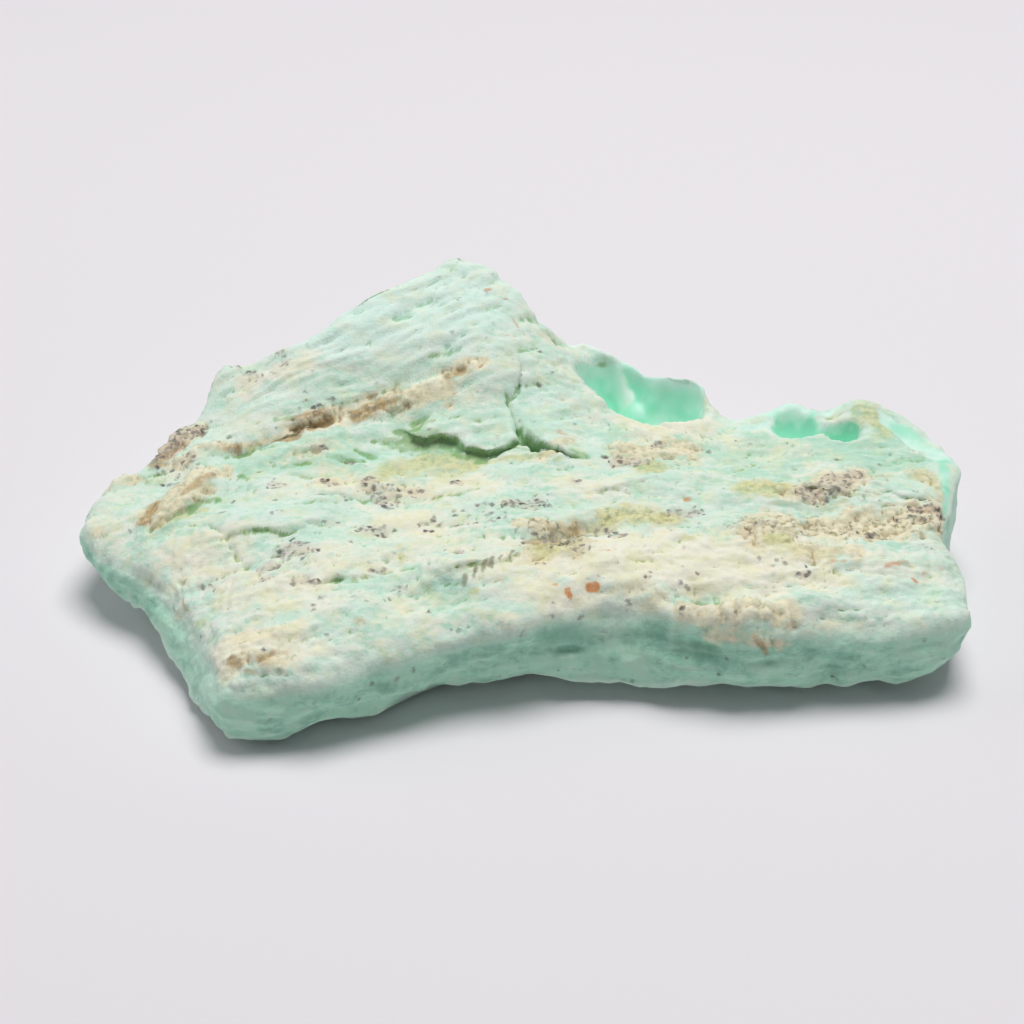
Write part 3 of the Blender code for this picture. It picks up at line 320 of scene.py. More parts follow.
        (4.6, 22.4, 5.9, -1.4, 0.8, 0.9), (10.5, 21, 3.5, -3.4, 0.8, 0.9), (14, 17.6, 4.4, -2.8, 0.8, 0.8),
        (26, 11.6, 6, 0.4, 0.7, 0.8), (38, 10, 5, -7, 1.2, 0.8), (42.6, 1, -1, -9, 0.8, 0.7),
    ],
}

# the same on the front wall, in x and z
wallStainsAndPaintedShade = {
    "tan": [
        (15.6, 10.2, 2.4, -1.6, 1, 1), (18, 8.4, 5.4, -0.2, 1.3, 1), (25.4, 9.8, 2.6, -0.4, 1.2, 0.9),
    ],
    "ochre": [(20.8, 8.6, 0.6, -0.6, 0.4, 0.8), (21.4, 8, 1, -1.4, 0.3, 0.7)],
    "pits": [(19.6, 9, 3, -1, 0.8, 0.9)],
    # painted shade on the front wall: dark teal under its bulges and in its folds
    "deep": [
        (3, 7.4, 8.5, 0.8, 2, 0.8), (-6.5, 6.4, 4, 0.4, 0.9, 0.7), (10, 7.4, 2.4, -0.2, 0.7, 0.9),
        (14.4, 6.6, 3, -0.6, 0.9, 0.8), (-13, 5.4, 2, 0.4, 0.8, 0.6), (31, 8.2, 2.4, 0.2, 0.4, 0.9),
        (27, 5.6, 4, 0.4, 0.7, 0.5), (21, 5, 2, 0.2, 0.8, 0.5),
    ],
}


# 0 below low, 1 above high, 3s^2 - 2s^3 between
def smoothStep(low, high, value):
    share = np.clip((value - low) / (high - low), 0.0, 1.0)
    return share * share * (3.0 - 2.0 * share)


# one repeatable number from -1 to 1 for each lattice corner: its three counts mixed bit by bit
def cornerValues(ix, iy, iz, seed):
    mixed = (ix * 73856093) ^ (iy * 19349663) ^ (iz * 83492791) ^ (seed * 961748927)
    mixed = (mixed ^ (mixed >> 13)) * 1274126177
    return ((mixed ^ (mixed >> 16)) & 0xFFFF) / 32767.5 - 1.0


# noise: the eight corner values round a point, blended by 6t^5 - 15t^4 + 10t^3 along each axis
def latticeNoise(points, seed):
    cell = np.floor(points).astype(np.int64)
    part = points - cell
    blend = part * part * part * (part * (part * 6.0 - 15.0) + 10.0)
    total = np.zeros(len(points))
    for corner in np.ndindex(2, 2, 2):
        share = np.where(corner, blend, 1.0 - blend)
        total += share[:, 0] * share[:, 1] * share[:, 2] * cornerValues(*(cell + corner).T, seed)
    return total


# noise at a wavelength, plus layers of half the size and half the strength
def layeredNoise(points, wavelength, layers, seed):
    return sum(latticeNoise(points * 2.0**k / wavelength, seed + k) / 2.0**k for k in range(layers))


# cells round scattered seeds: distance to the nearest seed, and its number
def cellNoise(points, seed):
    cell = np.floor(points).astype(np.int64)
    nearest = np.full(len(points), 9.0)
    number = np.zeros(len(points))
    for corner in np.ndindex(3, 3, 3):
        near = cell + corner - 1
        away = near + 0.5 - points
        away += 0.42 * np.stack([cornerValues(*near.T, seed + k) for k in range(3)], axis=1)
        distance = np.sqrt((away**2).sum(1))
        number = np.where(distance < nearest, cornerValues(*near.T, seed + 5), number)
        nearest = np.minimum(nearest, distance)
    return nearest, number


# cubic curve through the knots: each stretch takes its slopes from the knots on either side
def curveThrough(knots, steps=8):
    knots = np.array(knots, float)
    ends = np.vstack([2 * knots[0] - knots[1], knots, 2 * knots[-1] - knots[-2]])
    share = np.linspace(0.0, 1.0, steps, endpoint=False)[:, None]
    before, start, end, after = (ends[k:k + len(knots) - 1, None] for k in range(4))
    curve = 0.5 * (
        2 * start
        + (end - before) * share
        + (2 * before - 5 * start + 4 * end - after) * share**2
        + (3 * start - before - 3 * end + after) * share**3
    )
    return np.vstack([curve.reshape(-1, knots.shape[1]), knots[-1:]])


# the curve's points at shares of its length in plan
def alongSide(knots, share):
    line = curveThrough(knots)
    length = np.concatenate([[0.0], np.cumsum(np.linalg.norm(np.diff(line[:, :2], axis=0), axis=1))])
    return np.stack([np.interp(share * length[-1], length, column) for column in line.T], axis=-1)


# fills four sides: front to back blend, plus left to right blend, less the blend of the corners
def outlineGrid(across, down):
    u, v = np.linspace(0.0, 1.0, across + 1), np.linspace(0.0, 1.0, down + 1)
    front, back = alongSide(stone["front"], u)[:, None], alongSide(stone["back"], u)[:, None]
    left, right = alongSide(stone["left"], v)[None], alongSide(stone["right"], v)[None]
    u, v = u[:, None, None], v[None, :, None]
    corners = (1 - v) * ((1 - u) * front[0] + u * front[-1]) + v * ((1 - u) * back[0] + u * back[-1])
    grid = (1 - v) * front + v * back + (1 - u) * left + u * right - corners
    # each inner point to the mean of its four neighbours, so no kink runs in
    for _ in range(stone["outlinePasses"]):
        around = grid[2:, 1:-1] + grid[:-2, 1:-1] + grid[1:-1, 2:] + grid[1:-1, :-2]
        grid[1:-1, 1:-1] = around / 4.0
    return grid


# distance from each point to the line, signed by the side it is on, and the share along the line
def nearestOnLine(xy, knots, steps=5):
    line = curveThrough(knots, steps)
    starts, step = line[:-1], np.diff(line, axis=0)
    lengths = np.linalg.norm(step, axis=1)
    before = np.cumsum(lengths) - lengths
    distance, travelled = np.zeros(len(xy)), np.zeros(len(xy))
    for low in range(0, len(xy), 4000):  # in parts, to save memory
        part = slice(low, low + 4000)
        offset = xy[part, None, :] - starts[None]
        share = np.clip((offset * step).sum(2) / lengths**2, 0.0, 1.0)
        gap = np.linalg.norm(offset - share[:, :, None] * step, axis=2)
        nearest = gap.argmin(1)
        rows = np.arange(len(nearest))
        side = step[nearest, 0] * offset[rows, nearest, 1] - step[nearest, 1] * offset[rows, nearest, 0]
        distance[part] = gap[rows, nearest] * np.where(side < 0, -1.0, 1.0)
        travelled[part] = before[nearest] + share[rows, nearest] * lengths[nearest]
    return distance, travelled / lengths.sum()


# a place turned into a feature's own directions, as shares of its reach along and across
def turned(xy, x, y, turn, reachAlong, reachAcross):
    angle = math.radians(turn)
    dx, dy = xy[:, 0] - x, xy[:, 1] - y
    along = dx * math.cos(angle) + dy * math.sin(angle)
    across = dy * math.cos(angle) - dx * math.sin(angle)
    return along / reachAlong, across / reachAcross


# r^2 log r, the bend of a thin plate pushed at one point
def plateBend(distance):
    return distance**2 * np.log(np.maximum(distance, 1e-9))


# the thin plate through the spot heights: a tilted plane plus one bend for each spot
def plateHeight(spots, xy):
    spots = np.array(spots, float)
    count = len(spots)
    plane = np.column_stack([np.ones(count), spots[:, :2]])
    bends = plateBend(np.linalg.norm(spots[:, None, :2] - spots[None, :, :2], axis=2))
    bends += np.eye(count) * stone["plateSlack"]
    system = np.block([[bends, plane], [plane.T, np.zeros((3, 3))]])
    weights = np.linalg.solve(system, np.concatenate([spots[:, 2], np.zeros(3)]))
    bend = plateBend(np.linalg.norm(xy[:, None, :] - spots[None, :, :2], axis=2))
    return bend @ weights[:count] + np.column_stack([np.ones(len(xy)), xy]) @ weights[count:]


# the lower of two heights, with the corner between them rounded over the softness
def lowerOf(a, b, softness):
    blend = np.clip(0.5 + 0.5 * (b - a) / softness, 0.0, 1.0)
    return b * (1 - blend) + a * blend - softness * blend * (1 - blend)


# how far onto a ledge: 0 before the lip, 1 on it, fading as e^(-distance / run), and at both ends
# over a width that grows behind the lip
def ledgeShare(xy, run, fade, line):
    behind, _ = nearestOnLine(xy, line)
    ragged = np.column_stack([xy, np.zeros(len(xy))])
    behind = behind + stone["lipRaggedness"] * layeredNoise(ragged, 2.6, 3, 71)
    first, last = line[0][0], line[-1][0]
    widened = fade + 0.8 * np.maximum(behind, 0.0)
    ends = smoothStep(first, first + widened, xy[:, 0]) * smoothStep(last, last - widened, xy[:, 0])
    lip = smoothStep(-stone["lipSoftness"], stone["lipSoftness"], behind)
    return ends * lip * np.exp(-np.maximum(behind, 0) / run)


# height of the top: the plate, plus mounds e^-(r^3) and ledges, cut by the scoops, less the clefts
# as e^-(d^2); and how deep the scoops cut
def topHeight(xy):
    height = plateHeight(stone["heights"], xy)
    for *place, lift in stone["mounds"]:
        along, across = turned(xy, *place)
        height += lift * np.exp(-((along**2 + across**2) ** 1.5))
    for rise, _, *shape in stone["ledges"]:
        height += rise * ledgeShare(xy, *shape)
    whole = height
    for *place, floor, climb in stone["scoops"]:
        along, across = turned(xy, *place)
        bowl = floor + climb * (along**2 + across**2) ** 1.2
        height = lowerOf(height, bowl, stone["scoopSoftness"])
    cut = whole - height
    for depth, half, line in stone["clefts"]:
        distance, share = nearestOnLine(xy, line)
        ends = smoothStep(0.0, 0.15, share) * smoothStep(1.0, 0.85, share)
        height = height - depth * ends * np.exp(-((distance / half) ** 2))
    return height, cut


# level direction out of the stone, from a middle line that runs along it, more along it at the left
def outwardOf(xy):
    leftward = 0.3 + 0.3 * smoothStep(-18.0, -30.0, xy[:, 0])
    outward = xy * np.column_stack([leftward, np.full(len(xy), 0.75)])
    return outward / (np.linalg.norm(outward, axis=1)[:, None] + 1e-6)


# the plain slab: the top sheet, the sides as rows from rim to foot, and rings that close the sole
def slab():
    nu, nv, rows = stone["cellsAlong"], stone["cellsAcross"], stone["rowsDown"]
    grid = outlineGrid(nu, nv)
    top = grid.reshape(-1, 4)
    i, j = np.arange(nu), np.arange(nv)
    loop = np.concatenate([i * (nv + 1), nu * (nv + 1) + j, (nu - i) * (nv + 1) + nv, nv - j])
    rim = top[np.append(loop[::3], loop[0]), :2]
    inward = np.abs(nearestOnLine(top[:, :2], rim, 1)[0])
    backward = smoothStep(-8.0, 6.0, top[:, 1])
    radius = stone["rimRounding"] + (stone["backRounding"] - stone["rimRounding"]) * backward
    nearRim = 1.0 - np.clip(inward / (stone["rimWidth"] * radius), 0.0, 1.0)
    rounding = 1.0 - np.sqrt(1.0 - nearRim**2)
    height, scooped = topHeight(top[:, :2])
    height -= radius * rounding
    hung = top[:, :2].copy()
    for _, hang, *shape in stone["ledges"]:
        hung[:, 1] -= hang * ledgeShare(top[:, :2], *shape)

    rimXy, spread, lift, rimZ = top[loop, :2], top[loop, 2], top[loop, 3], height[loop]
    lift = lift + stone["footRaggedness"] * layeredNoise(np.column_stack([rimXy, 0 * lift]), 3.4, 3, 91)
    outward = outwardOf(rimXy)
    down = np.arange(1, rows + 1)[:, None] / rows
    push = spread * down**1.4 + stone["sideBulge"] * 4.0 * down * (1.0 - down)
    sideXy = rimXy[None] + outward[None] * push[:, :, None]
    sideZ = lift + (rimZ - lift) * (1.0 - down)
    side = np.concatenate([sideXy, sideZ[:, :, None]], axis=2)

    foot = side[-1]
    middle = np.array(stone["soleMiddle"])
    ring = np.array(stone["soleRings"])[:, None]
    soleXy = foot[None, :, :2] + (middle - foot[None, :, :2]) * ring[:, :, None]
    inwards = ring * np.linalg.norm(foot[:, :2] - middle, axis=1)
    soleZ = (lift + stone["soleSink"]) * (1.0 - smoothStep(0.0, stone["undercutReach"], inwards))
    sole = np.concatenate([soleXy, (soleZ - stone["soleSink"])[:, :, None]], axis=2)

    points = np.vstack([
        np.column_stack([hung, height]), side.reshape(-1, 3), sole.reshape(-1, 3), [[*middle, 0.0]]
    ])
    for x, y, z, reach, pushX, pushY in stone["dents"]:
        distance = np.linalg.norm(points - [x, y, z], axis=1) / reach
        points += np.exp(-(distance**3))[:, None] * [pushX, pushY, 0.0]

    corner = (i[:, None] * (nv + 1) + j[None, :]).ravel()
    sheet = np.stack([corner, corner + nv + 1, corner + nv + 2, corner + 1], axis=1)
    first = len(top)
    rings = [loop] + [first + k * len(loop) + np.arange(len(loop)) for k in range(rows + len(ring))]
    bands = [
        np.stack([low, np.roll(low, -1), np.roll(high, -1), high], axis=1)
        for high, low in zip(rings, rings[1:])
    ]
    last = rings[-1]
    fan = np.stack([np.full(len(last), len(points) - 1), np.roll(last, -1), last], axis=1)
    quads = np.vstack([sheet] + bands)
    cut, rimShare = np.zeros(len(points)), np.ones(len(points))
    cut[:first] = scooped
    rimShare[:first] = smoothStep(4.0, 1.0, inward)
    return points, quads, fan, cut, rimShare


# the line of the grain in plan: y = slope x - bend x^2 / 2
def grainLine(x):
    return stone["grainSlope"] * x - 0.5 * stone["grainBend"] * x**2


# the stone's own directions: x along the grain drawn out, y across the beds, which dip to the back
def alongBeds(points, stretch):
    x, y, z = points.T
    slope = grainLine(x) + stone["crestTurn"] * (x + 8.0) * smoothStep(6.0, 18.0, y)
    return np.column_stack([x / stretch, y + stone["bedDip"] * z - slope, 0.6 * z])


# the broad relief: fibres as 1 - 2|noise| along the grain, lumps, and rough sides at the back
def broadRelief(points, normals):
    x, y, z = points.T
    grain = np.column_stack([x / 4.0, y - grainLine(x), z])
    fibres = 1.0 - 2.0 * np.abs(layeredNoise(grain, 3.0, 2, 11))
    lumps = layeredNoise(points, 8.0, 3, 23)
    sides = (1.0 - np.abs(normals[:, 2])) * smoothStep(-4.0, 10.0, y)
    return 0.12 * fibres + 0.6 * lumps + 1.2 * sides * layeredNoise(points, 12.0, 2, 37)


# flat flakes with sharp edges: noise along the beds rounded to whole steps, each edge a short slope
def flakes(points, size, stretch, pitch, seed):
    height = layeredNoise(alongBeds(points, stretch), size, 4, seed)
    part = height / pitch - np.floor(height / pitch)
    return 0.75 * (height + pitch * (smoothStep(0.36, 0.64, part) - part)) + 0.25 * height


# round lumps with creases between: |noise| at a size, with finer ones on it
def roundLumps(points, size, layers, seed):
    lumps = (np.abs(latticeNoise(points * 2.1**k / size, seed + k)) / 2.0**k for k in range(layers))
    return sum(lumps) - 0.45


# cracks: where one stretched noise crosses zero, kept where another is high
def cracks(points, size, width, seed):
    across = layeredNoise(alongBeds(points, 2.6), size, 3, seed)
    kept = smoothStep(0.05, 0.6, layeredNoise(points, 1.6 * size, 2, seed + 7))
    return kept * np.exp(-((across / width) ** 2))


# scallops: shell-shaped hollows that meet in ridges, as the squared distance to the nearest seed
def scallops(points, size, seed):
    nearest, _ = cellNoise(points / size, seed)
    return nearest**2 - 0.3


# folds of the front wall: level noise drawn out along it, with finer folds on it
def folds(points, size, seed):
    drawn = points * [0.36, 1.0, 1.25]
    return layeredNoise(drawn, size, 3, seed) - 0.5 * np.abs(latticeNoise(drawn / (0.5 * size), seed + 9))


# pits: a bowl round each seed of a fine cell pattern, deeper in some cells than in others
def roundPits(points, size, seed):
    nearest, number = cellNoise(points / size, seed)
    return smoothStep(0.42, 0.1, nearest) * smoothStep(-0.5, 0.8, number)


# how strongly each place is marked by a list of strokes, be they stains, finishes, painted shade or painted
# light: the nearest stroke's strength, fading past its ragged reach
def strokeAmount(points, strokes, seed):
    wobble = layeredNoise(points, 1.6, 3, seed)
    amount = np.zeros(len(points))
    for x, y, runX, runY, reach, strength in strokes:
        run = np.array([runX, runY])
        offset = points[:, :2] - [x, y]
        low, high = np.minimum(run, 0) - 2.5 * reach, np.maximum(run, 0) + 2.5 * reach
        near = np.flatnonzero(((offset > low) & (offset < high)).all(1))
        share = np.clip(offset[near] @ run / max(run @ run, 1e-9), 0.0, 1.0)
        distance = np.linalg.norm(offset[near] - share[:, None] * run, axis=1) / reach + 0.5 * wobble[near]
        amount[near] = np.maximum(amount[near], strength * smoothStep(1.6, 0.25, distance))
    return amount


# each value averaged with its neighbours along the mesh's edges, again and again
def smoothed(values, edges, passes):
    ends = np.concatenate([edges[:, 0], edges[:, 1]])
    others = np.concatenate([edges[:, 1], edges[:, 0]])
    count = np.bincount(ends, minlength=len(values))
    for _ in range(passes):
        values = np.column_stack([
            np.bincount(ends, column[others], len(values)) / count for column in values.T
        ])
    return values


# one property of everything in a mesh's collection, as rows of the given width
def readRows(collection, name, width, kind):
    values = np.empty(len(collection) * width, kind)
    collection.foreach_get(name, values)
    return values.reshape(-1, width)


# a new object with this data, put into the scene
def addObject(name, data):
    made = bpy.data.objects.new(name, data)
    bpy.context.scene.collection.objects.link(made)
    return made


# each axis of the points stretched from its own extent to the box's
def fitBox(points, box):
    low, high = np.array(box[0]), np.array(box[1])
    return low + (points - points.min(0)) * (high - low) / np.ptp(points, axis=0)


# the stone: the slab, each point moved along its normal by the relief, then fitted to the CAD box
def makeStone():
    points, quads, fan, cut, rimShare = slab()
    mesh = bpy.data.meshes.new("chrysopraseStone")
    mesh.from_pydata(points.tolist(), [], quads.tolist() + fan.tolist())
    mesh.update()
    normals = readRows(mesh.vertex_normals, "vector", 3, np.float32).astype(float)
    edges = readRows(mesh.edges, "vertices", 2, np.int32)

    kept = smoothStep(0.2, 0.6, normals[:, 2])  # stains lie on what faces up
    amounts = {
        name: kept * strokeAmount(points, strokes, 300 + 10 * number)
        for number, (name, strokes) in enumerate(stainsFinishesAndPaintedLight.items())
    }
    steep = ((1.0 - kept) * rimShare)[:, None]
    sides = smoothed(steep, edges, stone["sidePasses"])[:, 0]
    facing = (sides * smoothStep(0.1, 0.7, -normals[:, 1]))[:, None]
    frontward = smoothed(facing, edges, stone["frontPasses"])[:, 0]
    for name, strokes in wallStainsAndPaintedShade.items():  # on the front wall, as strokes in x and z
        onWall = frontward * strokeAmount(points[:, [0, 2, 1]], strokes, 500)
        amounts[name] = np.maximum(amounts[name], onWall)
    gem = smoothStep(-0.1, 1.2, cut + 0.25 * layeredNoise(points, 1.5, 3, 61)) * (cut > 0.0)
    gem = np.maximum(gem, amounts.pop("glass"))
    rough = (1.0 - 0.93 * gem) * (1.0 - 0.7 * amounts.pop("calm")) * (0.2 + 0.8 * kept)
    crumbly = np.maximum(amounts["tan"], 0.3 * amounts["cream"])
    fibrous = amounts["fibrous"]
    smooth = 1.0 - 0.55 * fibrous * (1.0 - amounts["tan"])
    walls = (
        relief["scallops"] * (sides - frontward) * scallops(points, 5.2, 161)
        + relief["folds"] * frontward * folds(points, 2.8, 181)
        + relief["shells"] * gem * scallops(points, 3.4, 191)
        - relief["crevices"] * amounts["deep"]
    )
    fine = (
        relief["lenses"] * (1.0 - 0.75 * fibrous) * flakes(points, 6.0, 1.7, 0.45, 101)
        + relief["flakes"] * (1.0 - 0.5 * fibrous) * flakes(points, 2.4, 1.7, 0.5, 131)
        + relief["lumps"] * smooth * (0.4 + crumbly) * roundLumps(points, 1.9, 3, 171)
        + relief["fibres"] * fibrous * layeredNoise(alongBeds(points, 6.0), 0.9, 2, 201)
        + relief["crumbs"] * smooth * (0.5 + crumbly) * roundLumps(points, 0.9, 2, 231)
        + relief["grit"] * latticeNoise(points / 0.42, 261)
        - relief["cracks"] * cracks(points, 5.0, 0.07, 281)
        - relief["fineCracks"] * cracks(points, 2.4, 0.12, 351)
    )
    pits = amounts["pits"] * roundPits(points, 0.95, 401)
    shift = broadRelief(points, normals) * (1.0 - 0.6 * gem) + rough * fine + walls - relief["pits"] * pits
    points += normals * shift[:, None]
    points[:, 2] = np.maximum(points[:, 2], 0.0)
    wide, near = (((smoothed(points, edges, passes) - points) * normals).sum(1) for passes in (10, 2))
    hollow = wide + 1.5 * near
    # the hollow measure sets where the material paints hollows green and dim, partly as painted shade, and
    # where it paints convex edges pale as a painted highlight
    amounts.update(
        gem=gem, sides=sides, front=frontward,
        depth=smoothStep(0.5, 5.0, cut),
        cavity=smoothStep(0.02, 0.5, hollow + (1.0 - kept) * (1.0 - rimShare)) * (1.0 - 0.6 * frontward),
        edge=smoothStep(0.02, 0.4, -hollow),
    )
    fitted = fitBox(points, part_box("chrysoprase"))
    mesh.vertices.foreach_set("co", fitted.astype(np.float32).ravel())
    mesh.update()
    for name, values in amounts.items():  # one number for each vertex, for the material to read
        attribute = mesh.attributes.new(name, "FLOAT", "POINT")
        attribute.data.foreach_set("value", values.astype(np.float32))
    mesh.shade_smooth()
    mesh.materials.append(stoneMaterial())
    return addObject("chrysopraseStone", mesh)


# one socket of a shader, on which arithmetic adds Math nodes
class Signal:
    def __init__(self, tree, socket):
        self.tree = tree
        self.socket = socket

    # any node: its settings first, then the values or links of its sockets
    def node(self, kind, settings, inputs, output=0):
        made = self.tree.nodes.new(kind)
        for name, value in settings.items():
            setattr(made, name, value)
        for name, value in inputs.items():
            if isinstance(value, Signal):
                self.tree.links.new(value.socket, made.inputs[name])
            else:
                made.inputs[name].default_value = value
        return None if output is None else Signal(self.tree, made.outputs[output])

    # one step of arithmetic on two numbers
    def maths(self, operation, first, second=0.0):
        return self.node("ShaderNodeMath", {"operation": operation}, {0: first, 1: second})

    def __add__(self, other):
        return self.maths("ADD", self, other)

    def __sub__(self, other):
        return self.maths("SUBTRACT", self, other)

    def __rsub__(self, other):
        return self.maths("SUBTRACT", other, self)

    def __mul__(self, other):
        return self.maths("MULTIPLY", self, other)

    __radd__ = __add__
    __rmul__ = __mul__

    # 0 below low, 1 above high, smooth between
    def step(self, low, high):
        inputs = {"Value": self, "From Min": low, "From Max": high}
        return self.node("ShaderNodeMapRange", {"interpolation_type": "SMOOTHSTEP"}, inputs)

    # this socket as the share of the second colour over the first, each a socket or a colour's name
    def blend(self, *pair):
        first, second = ((*colours[c], 1.0) if isinstance(c, str) else c for c in pair)
        settings = {"data_type": "RGBA", "blend_type": "MIX"}
        return self.node("ShaderNodeMix", settings, {0: self, 6: first, 7: second}, 2)

    # noise of a size in millimetres, read at this place plus an offset
    def noise(self, size, detail, roughness, offset=0.0):
        move = {0: self, 1: (offset, offset, offset)}
        place = self.node("ShaderNodeVectorMath", {"operation": "ADD"}, move)
        inputs = {"Vector": place, "Scale": 1.0 / size, "Detail": detail, "Roughness": roughness}
        return self.node("ShaderNodeTexNoise", {}, inputs)


# colours of the stone, linear
colours = {
    "mint": (0.6, 0.8, 0.67),
    "paleMint": (0.74, 0.83, 0.74),
    "greenMint": (0.45, 0.72, 0.56),
    "aqua": (0.68, 0.92, 0.85),
    "cream": (0.86, 0.84, 0.71),
    "yellow": (0.8, 0.79, 0.48),
    "tan": (0.6, 0.5, 0.31),
    "sand": (0.85, 0.78, 0.56),
    "olive": (0.66, 0.66, 0.3),
    "darkOlive": (0.42, 0.42, 0.13),
    "wall": (0.45, 0.81, 0.61),
    # the side walls' mint, paler than the front wall's, as painted light
    "litSideMint": (0.7, 0.98, 0.82),
    "brown": (0.26, 0.15, 0.06),
    "umber": (0.4, 0.3, 0.17),
    "rust": (0.64, 0.21, 0.03),
    # dark green painted as shade in the hollows of the sides
    "deep": (0.15, 0.42, 0.25),
    "teal": (0.19, 0.46, 0.35),
    # green painted as shade in the hollows of the top and under the ledge lips
    "mossGreenShade": (0.17, 0.38, 0.1),
    "ochre": (0.56, 0.4, 0.18),
    "dash": (0.2, 0.19, 0.12),
    "halo": (0.58, 0.47, 0.39),
    # pale chalk: a painted highlight on convex edges, painted light on the fibrous ramp, and the pale rims
    # of the hollow
    "chalkAndHighlight": (0.86, 0.93, 0.85),
    "gem": (0.52, 0.9, 0.74),
    "paleGem": (0.72, 0.93, 0.82),
    "richGem": (0.24, 0.76, 0.52),
    "speck": (0.09, 0.065, 0.065),
    "paleSpeck": (0.26, 0.21, 0.21),
}

# the crust and the gem besides their colours, and the grain's bump; scale and distance in metres
finish = {
    "crust": {
        "Roughness": 0.88, "Specular IOR Level": 0.3,
        "Subsurface Weight": 0.15, "Subsurface Radius": (0.7, 1.0, 0.8), "Subsurface Scale": 0.0007,
    },
    "gem": {
        "Roughness": 0.6, "Specular IOR Level": 0.3,
        "Subsurface Weight": 0.4, "Subsurface Radius": (0.5, 1.0, 0.8), "Subsurface Scale": 0.0012,
    },
    "grain": {"Strength": 0.4, "Distance": 0.0004},
}


